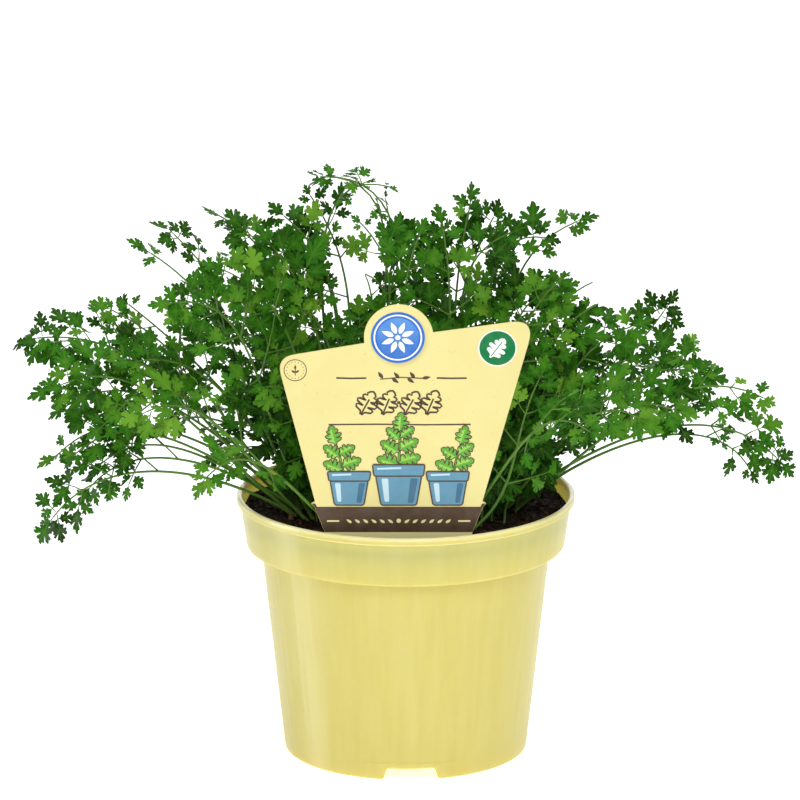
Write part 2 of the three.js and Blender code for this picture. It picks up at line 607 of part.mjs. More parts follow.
function makePottedChervil() {
  const pot = makePot();
  const label = makeLabel();
  const standing = [pot, label].map((solid) => ({ solid, box: solid.boundingBox() }));
  const leaves = [];
  for (const leaf of allLeaves()) {
    leaves.push(bentClear(leaf, [...standing, ...leaves]));
  }
  const green = matt(0x2f7a1f, 0.5);
  const group = new THREE.Group();
  group.name = "potted_chervil";
  group.add(named("pot", pot, matt(0xe6dc85, 0.38)));
  group.add(named("soil", makeSoil(leaves), matt(0x2a1c14, 0.95)));
  group.add(named("label", label, matt(0xf6eca0, 0.55)));
  leaves.forEach(({ name, solid }) => group.add(named(name, solid, green)));
  return group;
}

export default makePottedChervil();
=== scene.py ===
# Potted chervil, dressed for the studio: a pale yellow plastic pot, dark soil, finely cut leaves on thin stalks
# and a printed plant label. Helpers work in millimetres; settings and Blender's objects are in metres.
import math

import bpy
import numpy as np
from mathutils import Matrix, Vector, noise


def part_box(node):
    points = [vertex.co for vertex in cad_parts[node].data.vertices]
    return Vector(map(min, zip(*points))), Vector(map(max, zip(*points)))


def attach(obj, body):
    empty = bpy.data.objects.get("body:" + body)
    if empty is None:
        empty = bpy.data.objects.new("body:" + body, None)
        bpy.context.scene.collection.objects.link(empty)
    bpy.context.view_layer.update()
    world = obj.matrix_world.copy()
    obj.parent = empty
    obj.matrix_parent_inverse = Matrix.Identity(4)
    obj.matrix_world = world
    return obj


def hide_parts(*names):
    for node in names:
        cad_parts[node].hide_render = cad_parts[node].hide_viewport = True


bl_info = {
    "name": "Potted Chervil",
    "version": (1, 0, 0),
    "blender": (4, 5, 0),
    "location": "View3D > Sidebar > Chervil",
    "description": "Dresses the packed potted chervil with leaves, soil, pot, label and a studio stage",
    "category": "Add Mesh",
}

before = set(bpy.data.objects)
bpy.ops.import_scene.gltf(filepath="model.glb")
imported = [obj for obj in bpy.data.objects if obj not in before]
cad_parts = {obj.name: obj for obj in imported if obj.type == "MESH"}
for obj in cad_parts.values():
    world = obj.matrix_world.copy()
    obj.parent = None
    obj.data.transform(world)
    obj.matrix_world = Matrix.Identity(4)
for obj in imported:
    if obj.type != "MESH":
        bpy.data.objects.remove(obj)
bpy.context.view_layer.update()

MM = 0.001
TAU = 2 * math.pi
UPWARDS = np.array([0.0, 0.0, 1.0])
TO_THE_FRONT = np.array([0.0, -1.0, 0.0])
POT_BOX = [np.array(corner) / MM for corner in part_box("pot")]

# The pot's profile, as the solids have it. Its height comes from the frame.
POT_HEIGHT = float(POT_BOX[1][2])
LIP_DEPTH = 2.6
BAND_TOP_RADIUS = 58.4
BAND_FOOT_RADIUS = 56.4
BAND_FOOT_Z = 75.0
BODY_TOP_RADIUS = 51.2
BODY_FOOT_RADIUS = 43.5
WALL = 1.3
FLOOR_UNDERSIDE_Z = 3.9
FLOOR_THICKNESS = 1.4
POT_SEGMENTS = 360

# The outside as the photograph has it, within a millimetre or so of the solid.
BODY_TOP_OUTSIDE = 51.9
BAND_Z = 75.7
BAND_RADII = (57.0, 59.3)
BEAD_Z = 91.5
BEAD_RADII = (58.7, 60.6)
CREST_Z = POT_HEIGHT + 2.4

# Moulded details of the pot: notches and holes that drain it, faint flutes and a fine ridge over each notch.
NOTCH_COUNT = 3
NOTCH_TURN = math.radians(2.4)
NOTCH_TOP_WIDTH = 17.0
NOTCH_FOOT_WIDTH = 19.4
NOTCH_HEIGHT = 4.5
NOTCH_ROUND = 0.8
DRAIN_HOLE_COUNT = 6
DRAIN_HOLE_RADIUS = 4.0
DRAIN_HOLE_RING_RADIUS = 27.0
FLUTE_COUNT = 76
FLUTE_SPAN = (8, 72)
FLUTE_FADE = (6, 4)
RIDGE_Z = 6.2
RIDGE_HALF_WIDTH = 16.7
RIDGE_RISE = 0.22

# The plastic's upright streaks, and how far below the crest the rim's painted highlight starts and ends.
STREAK_STRETCH = (1.0, 1.0, 0.03)
STREAK_SCALE = 260.0
PAINTED_RIM_LIGHT_FADE = (1.8, 0.4)
# How strongly the rim and the wall inside it, above the soil, are painted paler: a painted highlight and painted
# light.
PAINTED_RIM_LIGHT_SHARE = 0.85

# The soil, a little below the rim, raised in the middle and banked up towards its edge. Lumps and crumbs are their
# width and lift.
SOIL_GAP = 0.4
SOIL_EDGE_Z = 87.0
SOIL_CENTRE_Z = 89.5
SOIL_HEAP = 0.9
SOIL_BANK = 1.6
BANK_RADII = (38, 50)
SOIL_TOP_RADIUS = 57.8
LITTER_RADIUS = SOIL_TOP_RADIUS - 1.0
LUMPS = (9, 1.1)
CRUMBS = (2.6, 1.5)
CRUMB_SIZES = (0.3, 1.15)
FIBRE_LENGTHS = (2.5, 11)
FIBRE_RADII = (0.05, 0.17)
FIBRE_TAPER = (0.5, 1, 1, 0.9, 0.9, 0.7, 0.3)

# Where the label stands, and its outline as [u, v] on the card, with v = 0 level with the pot's rim.
LABEL_X = -2.5
LABEL_Y = -47.3
LABEL_LEAN = math.radians(5)
LABEL_THICKNESS = 0.6
HEAD_CENTRE = (0.0, 74.0)
HEAD_RADIUS = 12.1
TOP_LEFT = (-42.7, 66.5)
TOP_RIGHT = (47.6, 80.8)
TOP_SLOPES = (0.175, 0.141)
CORNER_RADIUS = 6.0
LABEL_EAR = ((29.6, 10.9), (30.7, 12.2), (29.4, 12.9))
LABEL_STAKE = ((3, -44), (9, -12), (22.7, -8), (26, 1.4))
STAKE_TIP_V = -50

# The leaves: stalks in the soil, and blades cut into pinnae and those into leaflets, as the solids have them.
STALK_LIFT = 1.2
ROOT_RING = (9, 38)
ROOT_FULL_REACH = 115
ROOT_SCATTER = 8
ROOT_FRONT_LIMIT = -40
ROOT_HANDLE = 0.42
TIP_HANDLE = 0.4
RACHIS_HALF_WIDTH = 0.6
BLADE_CUP = 0.14
BLADE_SAG = 0.6
PINNA_LIFT = 0.18
PINNA_ANGLES = [math.radians(degrees) for degrees in (58, 52, 46)]
PINNA_ANGLE_SPREAD = 0.1
PINNA_STEP = 0.025
PINNA_FOOT = 0.8
LEAFLET_ANGLE = math.radians(50)
LEAFLET_AT_FOOT = 0.36
LEAFLET_AT_TIP = 0.24
END_LEAFLET_STARTS = (0.25, 0.72, 0.78)
TOP_LEAFLET_ANGLE = math.radians(72)
TOP_LEAFLET = 0.13
OUTWARD_TURN = 0.36
SEED = 20261
SEED_STEP = 977
MOST_NUDGES = 160
NUDGE_STEP = 2.2
ROOT_NUDGE = 0.3
GOLDEN_ANGLE = 2.399963
NUDGE_RISE_TURNS = 1.7
LINE_STEPS = 200

# Three kinds of leaf. For each pair of pinnae from the lowest up: where the side leaflets stand on the
# pinna, where the pinna stands on the rachis, and its length. Last comes where the top leaflets start.
LEAF_KINDS = {
    "full": (((0.3, 0.6), (0.42,), ()), (0.03, 0.35, 0.58), (0.52, 0.38, 0.22), 0.83),
    "middling": (((0.42,), (0.45,), ()), (0.03, 0.34, 0.57), (0.46, 0.34, 0.22), 0.83),
    "small": (((0.42,), ()), (0.05, 0.43), (0.46, 0.28), 0.79),
}

# The outer leaves: place of the tip, lean of the stalk's foot from upright, pitch of the tip above level, the
# blade's length, how far its upper side turns from up to the front, kind, and tone from dark to light.
OUTER_LEAVES = (
    ((-34, -8, 212), 4, -5, 37, 8, "small", 0.45),
    ((-129, -25, 86), 56, -62, 53, 68, "middling", 0.5),
    ((-139, 5, 149), 50, -12, 54, 48, "middling", 0.42),
    ((-88, 30, 187), 25, 40, 50, 10, "middling", 0.3),
    ((24, 5, 204), 10, 75, 40, 68, "small", 0.5),
    ((66, 8, 194), 18, 16, 44, 32, "small", 0.5),
    ((74, 25, 168), 28, 8, 54, 6, "small", 0.45),
    ((137, -5, 103), 50, -55, 54, 48, "middling", 0.5),
    ((110, 2, 137), 45, -28, 64, 50, "full", 0.4),
    ((-38, 6, 208), 12, 52, 50, 48, "middling", 0.42),
    ((-62, -5, 196), 20, 35, 58, 53, "middling", 0.42),
    ((-48, -14, 199), 15, 45, 58, 58, "full", 0.45),
    ((-105, 28, 161), 42, 35, 48, 48, "middling", 0.45),
    ((-127, -26, 138), 50, -33, 62, 58, "full", 0.5),
    ((-125, 12, 122), 52, -42, 60, 58, "full", 0.4),
    ((-98, -14, 152), 42, -15, 56, 50, "full", 0.45),
    ((-97, -48, 133), 45, -33, 56, 53, "full", 0.68),
    ((-72, -94, 122), 52, -35, 42, 50, "small", 0.6),
    ((-88, 32, 160), 35, -10, 48, 45, "middling", 0.35),
    ((-82, -32, 169), 32, -10, 59, 50, "full", 0.42),
    ((-20, -20, 181), 12, 10, 51, 53, "middling", 0.38),
    ((-2, 12, 192), 8, 60, 52, 58, "middling", 0.42),
    ((40, 15, 190), 15, 50, 52, 48, "middling", 0.42),
    ((90, 25, 166), 35, 55, 50, 58, "middling", 0.4),
    ((86, -45, 130), 46, -38, 56, 60, "full", 0.55),
    ((100, -22, 128), 50, -30, 52, 53, "middling", 0.5),
    ((70, -15, 165), 30, 0, 60, 53, "full", 0.45),
    ((50, -32, 150), 62, 55, 48, 53, "middling", 0.6),
    ((66, -94, 140), 48, -20, 42, 50, "small", 0.5),
    ((-54, -42, 142), 35, -22, 46, 53, "middling", 0.45),
)
OWN_ROOTS = {27: (19, -40)}

# Leaves that only this scene has, which thicken the plant where the solids leave it thin, with their own roots.
FILLING_LEAVES = (
    ((-42, -18, 174), 14, 40, 40, 55, "small", 0.5),
    ((12, -4, 198), 8, 60, 40, 60, "small", 0.45),
    ((74, -6, 168), 30, 20, 44, 50, "small", 0.5),
    ((-48, -4, 201), 16, 35, 44, 50, "middling", 0.6),
    ((-116, -14, 95), 54, -60, 44, 60, "middling", 0.5),
    ((-127, -12, 108), 52, -52, 40, 55, "small", 0.55),
    ((133, -8, 128), 50, -35, 48, 50, "middling", 0.55),
    ((-96, -4, 187), 27, 30, 48, 6, "middling", 0.35),
    ((-2, -6, 207), 0, -18, 26, 8, "small", 0.45),
    ((-70, -30, 186), 24, 20, 50, 55, "middling", 0.62),
    ((60, -20, 182), 26, 35, 46, 55, "middling", 0.5),
    ((-109, -4, 165), 46, 25, 38, 52, "small", 0.55),
    ((-21, -8, 200), 8, 35, 38, 55, "small", 0.6),
    ((-34, -4, 211), 2, -8, 36, 14, "small", 0.45),
    ((7, -8, 196), 6, 50, 34, 50, "small", 0.5),
    ((86, -10, 160), 38, 15, 44, 50, "middling", 0.4),
    ((125, -6, 100), 48, -70, 28, 50, "small", 0.45),
    ((-121, -20, 110), 56, -50, 30, 50, "small", 0.5),
    ((-112, -14, 105), 52, -50, 32, 55, "small", 0.5),
    ((50, -30, 116), 36, -50, 30, 52, "small", 0.2),
    ((-71, 10, 196), 26, 20, 34, 6, "small", 0.4),
    ((-131, -8, 151), 52, -12, 36, 50, "small", 0.5),
    ((42, -6, 193), 12, 15, 34, 46, "small", 0.25),
    ((54, 4, 186), 16, -20, 30, 40, "small", 0.25),
)
FILLING_ROOTS = {8: (-24, -2), 13: (-4, -4)}

# The leaves behind are spread evenly round the back of the pot. The tiers take turns.
BACK_LEAF_COUNT = 10
BACK_AZIMUTHS = (20, 165)
BACK_TIERS = (
    (102, 124, 44, -36, 60, 40, "middling"),
    (50, 180, 18, 30, 52, 40, "small"),
    (88, 154, 32, -12, 56, 40, "middling"),
)


def srgb(*levels):
    """A colour given in 8-bit screen levels, as Blender's linear numbers."""
    shares = [level / 255 for level in levels]
    return tuple(s / 12.92 if s <= 0.04045 else ((s + 0.055) / 1.055) ** 2.4 for s in shares)


def lerp(start, end, share):
    return start + (end - start) * share


def unit(vector):
    return vector / np.linalg.norm(vector)


# Meshes

class Parts:
    """Points, faces and tones gathered in millimetres for one piece."""

    def __init__(self):
        self.points, self.tones, self.faces, self.materials = [], [], [], []
        self.count = 0

    def add(self, points, faces, material=0, tone=(0.5, 0.0, 0.0)):
        points = np.asarray(points, float).reshape(-1, 3)
        self.points.append(points)
        self.tones.append(np.broadcast_to(np.asarray(tone, float), (len(points), 3)))
        for face_set in faces:
            face_set = np.asarray(face_set, int)
            if len(face_set):
                self.faces.append(face_set + self.count)
                self.materials.append(np.full(len(face_set), material))
        self.count += len(points)

    def piece(self, name, materials, slot, replaced=(), sharp_degrees=None):
        """Makes the Blender object, riding on the root body."""
        mesh = bpy.data.meshes.new(name)
        points = np.concatenate(self.points) * MM
        corners = np.concatenate([face_set.ravel() for face_set in self.faces])
        sizes = np.concatenate([np.full(len(s), s.shape[1]) for s in self.faces])
        mesh.vertices.add(len(points))
        mesh.vertices.foreach_set("co", points.ravel())
        mesh.loops.add(len(corners))
        mesh.loops.foreach_set("vertex_index", corners.astype(np.int32))
        mesh.polygons.add(len(sizes))
        starts = np.concatenate([[0], np.cumsum(sizes)[:-1]])
        mesh.polygons.foreach_set("loop_start", starts.astype(np.int32))
        mesh.polygons.foreach_set("material_index", np.concatenate(self.materials).astype(np.int32))
        mesh.update(calc_edges=True)
        colours = mesh.color_attributes.new("tone", "FLOAT_COLOR", "POINT")
        tones = np.concatenate([np.concatenate(self.tones), np.ones((len(points), 1))], axis=1)
        colours.data.foreach_set("color", tones.ravel().astype(np.float32))
        if mesh.validate():
            raise RuntimeError(f"{name} has faulty faces")
        for material in materials:
            mesh.materials.append(material)
        mesh.shade_smooth()
        if sharp_degrees:
            mesh.set_sharp_from_angle(angle=math.radians(sharp_degrees))
        piece = bpy.data.objects.new(name, mesh)
        bpy.context.scene.collection.objects.link(piece)
        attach(piece, "root")
        if replaced:
            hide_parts(*replaced)
        return piece


def grid_faces(rows, columns):
    """Quads of a grid whose columns close on themselves."""
    row, column = np.meshgrid(np.arange(rows - 1), np.arange(columns), indexing="ij")
    right = (column + 1) % columns
    quads = [row * columns + column, row * columns + right, (row + 1) * columns + right, (row + 1) * columns + column]
    return np.stack(quads, axis=-1).reshape(-1, 4)


def neighbours(count):
    """The places round a ring of points, and the place next to each."""
    here = np.arange(count)
    return here, (here + 1) % count


def capped(rings, columns, ends):
    """Points and faces of rings that lie one after the other, closed by a point at each end."""
    first, top_row = len(rings), len(rings) - columns
    here, there = neighbours(columns)
    first_cap = np.stack([np.full(columns, first), there, here], axis=-1)
    last_cap = np.stack([np.full(columns, first + 1), top_row + here, top_row + there], axis=-1)
    return np.concatenate([rings, ends]), [grid_faces(len(rings) // columns, columns), first_cap, last_cap]


def turned(profile, segments, shape=None):
    """A closed solid of revolution from a profile of [radius, height] that starts and ends on the axis. The
    shape function may move the ring points, given as arrays of radius, height and azimuth."""
    rings = np.array(profile[1:-1], float)
    azimuth = np.arange(segments) * TAU / segments
    radius, around = np.meshgrid(rings[:, 0], azimuth, indexing="ij")
    height = np.meshgrid(rings[:, 1], azimuth, indexing="ij")[0]
    if shape:
        radius, height = shape(radius, height, around)
    ring_points = np.stack([radius * np.cos(around), radius * np.sin(around), height], axis=-1).reshape(-1, 3)
    return capped(ring_points, segments, [[0, 0, profile[0][1]], [0, 0, profile[-1][1]]])


def bend(corner, back, onward, steps):
    """Points on a curve round a corner, which starts and ends that far back and onward from it."""
    return [tuple(corner + back * (1 - share) ** 2 + onward * share ** 2) for share in np.linspace(0, 1, steps)]


def filleted(corners, steps=5):
    """A profile through corners given as (x, y, radius), each rounded by an arc of about that radius."""
    points = []
    for i, (x, y, radius) in enumerate(corners):
        if radius == 0 or i in (0, len(corners) - 1):
            points.append((x, y))
            continue
        here = np.array([x, y], float)
        before, after = (unit(np.array(corners[near][:2]) - here) for near in (i - 1, i + 1))
        points += bend(here, before * radius, after * radius, steps + 1)
    return points


def tube(line, radii, sides=8):
    """A closed tube along a line of points, with its frames carried along without twist."""
    line = np.asarray(line, float)
    radii = np.broadcast_to(np.asarray(radii, float), (len(line),))
    along = np.gradient(line, axis=0)
    along /= np.linalg.norm(along, axis=1, keepdims=True)
    start = np.cross(along[0], UPWARDS if abs(along[0][2]) < 0.9 else TO_THE_FRONT)
    angle = np.arange(sides) * TAU / sides
    rings, side = [], unit(start)
    for place, tangent, radius in zip(line, along, radii):
        side = unit(side - tangent * side.dot(tangent))
        other = np.cross(tangent, side)
        rings.append(place + radius * (np.outer(np.cos(angle), side) + np.outer(np.sin(angle), other)))
    return capped(np.concatenate(rings), sides, [line[0], line[-1]])


def cut_away(piece, cutters):
    """Takes the cutters, given as (points, faces), out of a piece."""
    tools = Parts()
    for points, faces in cutters:
        tools.add(points, faces)
    tool = tools.piece("cutter", [], "pot_plastic")
    modifier = piece.modifiers.new("cuts", "BOOLEAN")
    modifier.operation, modifier.solver, modifier.object = "DIFFERENCE", "EXACT", tool
    evaluated = piece.evaluated_get(bpy.context.evaluated_depsgraph_get())
    cut = bpy.data.meshes.new_from_object(evaluated)
    piece.modifiers.clear()
    piece.data = cut
    bpy.data.objects.remove(tool)


def prism(outline, low, high):
    """A closed flat-sided slab from an outline of [x, y], between two heights in z."""
    flat = np.asarray(outline, float)
    count = len(flat)
    points = np.concatenate([np.c_[flat, np.full(count, low)], np.c_[flat, np.full(count, high)]])
    here, there = neighbours(count)
    walls = np.stack([here, there, count + there, count + here], axis=-1)
    return points, [walls, here[::-1][None, :], (count + here)[None, :]]


# Materials

def add_node(tree, kind, values=None, **settings):
    """A node with its settings, and its inputs set to values or joined to sockets."""
    made = tree.nodes.new(kind)
    for name, value in settings.items():
        setattr(made, name, value)
    for key, value in (values or {}).items():
        socket = made.inputs[key]
        if isinstance(value, bpy.types.NodeSocket):
            tree.links.new(value, socket)
        else:
            socket.default_value = value
    return made


def ramp(tree, factor, colours):
    """A colour ramp through evenly spaced colours."""
    made = add_node(tree, "ShaderNodeValToRGB", {"Fac": factor})
    elements = made.color_ramp.elements
    while len(elements) < len(colours):
        elements.new(0.5)
    for i, (element, colour) in enumerate(zip(elements, colours)):
        element.position = i / (len(colours) - 1)
        element.color = (*colour, 1)
    return made.outputs["Color"]


def mixed(tree, factor, first, second):
    """One colour mixed with another."""
    made = tree.nodes.new("ShaderNodeMix")
    made.data_type = "RGBA"
    for socket, value in zip([made.inputs[0], made.inputs[6], made.inputs[7]], [factor, first, second]):
        if isinstance(value, bpy.types.NodeSocket):
            tree.links.new(value, socket)
        else:
            socket.default_value = (*value, 1) if isinstance(value, tuple) and len(value) == 3 else value
    return made.outputs[2]


def stepped(tree, value, low, high, to_low=0.0, to_high=1.0):
    """A value carried from one range to another, held at its ends."""
    made = add_node(tree, "ShaderNodeMapRange", {
        "Value": value, "From Min": low, "From Max": high, "To Min": to_low, "To Max": to_high})
    return made.outputs["Result"]


def sums(tree, operation, first, second):
    return add_node(tree, "ShaderNodeMath", {0: first, 1: second}, operation=operation).outputs[0]


def surface_grain():
    """The node group of fine grain and soft blotches that every material uses."""
    name = "surface_grain"
    if name in bpy.data.node_groups:
        return bpy.data.node_groups[name]
    group = bpy.data.node_groups.new(name, "ShaderNodeTree")
    for socket, value in (("Grain Scale", 900.0), ("Blotch Scale", 40.0)):
        made = group.interface.new_socket(socket, in_out="INPUT", socket_type="NodeSocketFloat")
        made.default_value = value
    for socket in ("Grain", "Blotches"):
        group.interface.new_socket(socket, in_out="OUTPUT", socket_type="NodeSocketFloat")
    inputs = group.nodes.new("NodeGroupInput").outputs
    place = add_node(group, "ShaderNodeTexCoord").outputs["Object"]
    outputs = group.nodes.new("NodeGroupOutput").inputs
    grain = add_node(group, "ShaderNodeTexNoise", {"Vector": place, "Scale": inputs["Grain Scale"], "Detail": 3.0})
    blotch = add_node(group, "ShaderNodeTexNoise", {"Vector": place, "Scale": inputs["Blotch Scale"], "Detail": 2.0})
    group.links.new(grain.outputs["Fac"], outputs["Grain"])
    group.links.new(blotch.outputs["Fac"], outputs["Blotches"])
    return group


def add_bump(tree, shader, height, strength, distance_mm):
    bump = add_node(tree, "ShaderNodeBump", {"Height": height, "Strength": strength, "Distance": distance_mm * MM})
    tree.links.new(bump.outputs["Normal"], shader.inputs["Normal"])


def surface(name, grain, roughness, bump=None, specular=0.5, dry=False):
    """A material ready for its colour, with its tree, shader, fine grain and blotches. Its bump follows the grain,
    and so does its roughness, or the blotches where the surface is dry. The bump is its strength and depth."""
    material = bpy.data.materials.new(name)
    material.use_nodes = True
    tree = material.node_tree
    shader = tree.nodes["Principled BSDF"]
    scales = {"Grain Scale": grain[0], "Blotch Scale": grain[1]}
    made = add_node(tree, "ShaderNodeGroup", scales, node_tree=surface_grain())
    fine, blotches = made.outputs["Grain"], made.outputs["Blotches"]
    tree.links.new(stepped(tree, blotches if dry else fine, 0.3, 0.7, *roughness), shader.inputs["Roughness"])
    shader.inputs["Specular IOR Level"].default_value = specular
    if bump:
        add_bump(tree, shader, fine, *bump)
    return material, tree, shader, fine, blotches


def finished(name, colours, roughness, grain=(900, 40), bump=(0.15, 0.05), specular=0.5):
    """A material whose colour wanders between two."""
    material, tree, shader, _, blotches = surface(name, grain, roughness, bump, specular)
    tree.links.new(mixed(tree, stepped(tree, blotches, 0.35, 0.65), *colours), shader.inputs["Base Color"])
    return material


def vertex_tone(tree):
    """The masks that a piece's points carry: tone, vein, and underside or, on stalks, paleness."""
    attribute = add_node(tree, "ShaderNodeAttribute", attribute_name="tone")
    split = add_node(tree, "ShaderNodeSeparateColor", {"Color": attribute.outputs["Color"]})
    return split.outputs["Red"], split.outputs["Green"], split.outputs["Blue"]


def leaf_material(settings):
    """Green blades with paler veins and undersides, which let some light through."""
    material, tree, shader, fine, blotches = surface("leaf_blade", (1400, 160), (0.36, 0.52), specular=0.06)
    tone, vein, underside = vertex_tone(tree)
    wandering = sums(tree, "ADD", tone, stepped(tree, blotches, 0.3, 0.7, -0.1, 0.1))
    greens = [tuple(green) for green in (settings.dark, settings.middle, settings.light)]
    green = ramp(tree, wandering, greens)
    veined = mixed(tree, sums(tree, "MULTIPLY", vein, 0.3), green, greens[-1])
    colour = mixed(tree, sums(tree, "MULTIPLY", underside, 0.45), veined, tuple(settings.underside))
    tree.links.new(colour, shader.inputs["Base Color"])
    add_bump(tree, shader, sums(tree, "SUBTRACT", fine, vein), 0.25, 0.12)
    through = add_node(tree, "ShaderNodeBsdfTranslucent", {
        "Color": mixed(tree, 0.35, colour, tuple(settings.glow))})
    both = add_node(tree, "ShaderNodeMixShader", {
        "Fac": 0.22, 1: shader.outputs["BSDF"], 2: through.outputs["BSDF"]})
    tree.links.new(both.outputs["Shader"], tree.nodes["Material Output"].inputs["Surface"])
    return material


def stalk_material(settings):
    """Stalks that pale towards their foot."""
    material, tree, shader, _, blotches = surface("leaf_stalk", (900, 200), (0.34, 0.48), (0.2, 0.1), 0.2)
    tone, _, pale = vertex_tone(tree)
    green = mixed(tree, tone, tuple(settings.stalk_dark), tuple(settings.stalk))
    varied = mixed(tree, stepped(tree, blotches, 0.35, 0.65, 0, 0.35), green, tuple(settings.stalk_dark))
    tree.links.new(mixed(tree, pale, varied, tuple(settings.stalk_foot)), shader.inputs["Base Color"])
    return material


# The pot

def pot_profile():
    """The pot's section from the middle of its underside, round the wall and back to the middle of its floor.
    Its rim is a rounded bead that stands a little prouder than the solid's plain one."""
    floor_top = FLOOR_UNDERSIDE_Z + FLOOR_THICKNESS
    ledge = BAND_FOOT_Z + WALL
    foot_inner = BODY_FOOT_RADIUS - 2 * WALL
    heights = (3, 5, 5.7, 6.0, 6.2, 6.4, 6.7, 8, *range(12, 73, 4))
    return filleted([
        (0, FLOOR_UNDERSIDE_Z, 0),
        (foot_inner, FLOOR_UNDERSIDE_Z, 0.5),
        (foot_inner, 0, 0.5),
        (BODY_FOOT_RADIUS, 0, 1.2),
        *[(body_radius(z), z, 0) for z in heights],
        (body_radius(BAND_Z), BAND_Z, 0.9),
        (BAND_RADII[0], BAND_Z, 0.9),
        (lerp(*BAND_RADII, 0.8), lerp(BAND_Z, BEAD_Z, 0.8), 0),
        (BAND_RADII[1], BEAD_Z, 0.6),
        (BEAD_RADII[1], BEAD_Z + 0.3, 0.6),
        (BEAD_RADII[1], CREST_Z, 0.9),
        (BEAD_RADII[0], CREST_Z, 0.9),
        (BEAD_RADII[0] - 0.4, BEAD_Z - 4, 0.5),
        (BAND_FOOT_RADIUS - WALL, ledge, 0.8),
        (BODY_TOP_RADIUS - WALL, ledge, 0.8),
        (BODY_FOOT_RADIUS - WALL, floor_top, 1.0),
        (0, floor_top, 0),
    ])


def body_radius(height):
    return lerp(BODY_FOOT_RADIUS, BODY_TOP_OUTSIDE, height / BAND_Z)


def moulded(flute_depth):
    """The function that gives the pot's outer wall its faint flutes and the fine ridge over each notch."""
    def shape(radius, height, around):
        outside = np.abs(radius - body_radius(height)) < 0.2
        low, high = FLUTE_SPAN
        fade = np.clip((height - low) / FLUTE_FADE[0], 0, 1) * np.clip((high - height) / FLUTE_FADE[1], 0, 1)
        swell = 0.6 + 0.4 * np.cos(7 * around) * np.cos(3 * around + 1)
        flutes = flute_depth * np.cos(FLUTE_COUNT * around) * fade * swell
        turn = np.mod(around - (NOTCH_TURN - math.pi / 2) + math.pi / NOTCH_COUNT, TAU / NOTCH_COUNT)
        across = np.abs(turn - math.pi / NOTCH_COUNT) * BODY_FOOT_RADIUS
        ridge = RIDGE_RISE * np.exp(-((height - RIDGE_Z) / RIDGE_RISE) ** 2) * (across < RIDGE_HALF_WIDTH)
        return radius + outside * (flutes + ridge), height
    return shape


def notch_cutter(azimuth):
    """A slab with rounded upper corners that widens downwards, set across the foot ring."""
    top, foot = NOTCH_TOP_WIDTH / 2, NOTCH_FOOT_WIDTH / 2
    flare = foot + 1.6
    outline = filleted([
        (-flare, -2, 0), (-flare + 0.4, 0, 0), (-foot, 0.5, 0.4), (-top, NOTCH_HEIGHT, NOTCH_ROUND),
        (top, NOTCH_HEIGHT, NOTCH_ROUND), (foot, 0.5, 0.4), (flare - 0.4, 0, 0), (flare, -2, 0),
    ])[::-1]
    points, faces = prism(outline, BODY_FOOT_RADIUS - 6, BODY_FOOT_RADIUS + 4)
    across, height, out = points.T
    cos, sin = math.cos(azimuth), math.sin(azimuth)
    return np.stack([out * cos - across * sin, out * sin + across * cos, height], axis=-1), faces


def drain_hole_cutter(azimuth):
    profile = [(0, FLOOR_UNDERSIDE_Z - 2), (DRAIN_HOLE_RADIUS, FLOOR_UNDERSIDE_Z - 2),
               (DRAIN_HOLE_RADIUS, FLOOR_UNDERSIDE_Z + 4), (0, FLOOR_UNDERSIDE_Z + 4)]
    points, faces = turned(profile, 32)
    shift = DRAIN_HOLE_RING_RADIUS * np.array([math.cos(azimuth), math.sin(azimuth), 0])
    return points + shift, faces


def pot_material(settings):
    """Smooth dyed plastic: pale with faint upright streaks, with a painted highlight along its thin rim and paler
    painted light on the wall inside it.
    """
    material, tree, shader, _, _ = surface("pot_plastic", (1600, 28), (0.35, 0.39), (0.06, 0.03), 0.36)
    coordinates = add_node(tree, "ShaderNodeTexCoord").outputs
    place = coordinates["Object"]
    drawn = add_node(tree, "ShaderNodeVectorMath", {0: place, 1: STREAK_STRETCH}, operation="MULTIPLY").outputs[0]
    noises = add_node(tree, "ShaderNodeTexNoise", {"Vector": drawn, "Scale": STREAK_SCALE, "Detail": 2.0})
    streaks = stepped(tree, noises.outputs["Fac"], 0.35, 0.65)
    uneven = mixed(tree, streaks, tuple(settings.colour), tuple(settings.deep_colour))
    height = add_node(tree, "ShaderNodeSeparateXYZ", {"Vector": place}).outputs["Z"]
    # Painted light: the crest of the rim gets a painted highlight, and the wall inside above the soil is painted paler
    # against its shade.
    crest = stepped(tree, height, *[(CREST_Z - depth) * MM for depth in PAINTED_RIM_LIGHT_FADE])
    facing = add_node(tree, "ShaderNodeVectorMath", {0: place, 1: coordinates["Normal"]}, operation="DOT_PRODUCT")
    inside = stepped(tree, facing.outputs["Value"], 0.0, -0.02)
    upper = stepped(tree, height, (SOIL_EDGE_Z - 3) * MM, SOIL_EDGE_Z * MM)
    rim = sums(tree, "MAXIMUM", crest, sums(tree, "MULTIPLY", inside, upper))
    colour = mixed(tree, sums(tree, "MULTIPLY", rim, PAINTED_RIM_LIGHT_SHARE), uneven, tuple(settings.painted_rim_light_colour))
    tangent = add_node(tree, "ShaderNodeTangent", direction_type="RADIAL", axis="Z").outputs["Tangent"]
    tree.links.new(colour, shader.inputs["Base Color"])
    tree.links.new(tangent, shader.inputs["Tangent"])
    for socket, value in (
        ("Subsurface Weight", 0.6), ("Subsurface Radius", (5.0, 4.0, 1.6)), ("Subsurface Scale", MM),
        ("Anisotropic", settings.brushed), ("Anisotropic Rotation", 0.25),
    ):
        shader.inputs[socket].default_value = value
    return material


# The soil

def soil_edge_radius():
    rise = (SOIL_EDGE_Z - BAND_FOOT_Z) / (POT_HEIGHT - LIP_DEPTH - BAND_FOOT_Z)
    return lerp(BAND_FOOT_RADIUS, BAND_TOP_RADIUS, rise) - WALL - SOIL_GAP


def soil_height(radius):
    return lerp(SOIL_CENTRE_Z, SOIL_EDGE_Z, radius / soil_edge_radius())


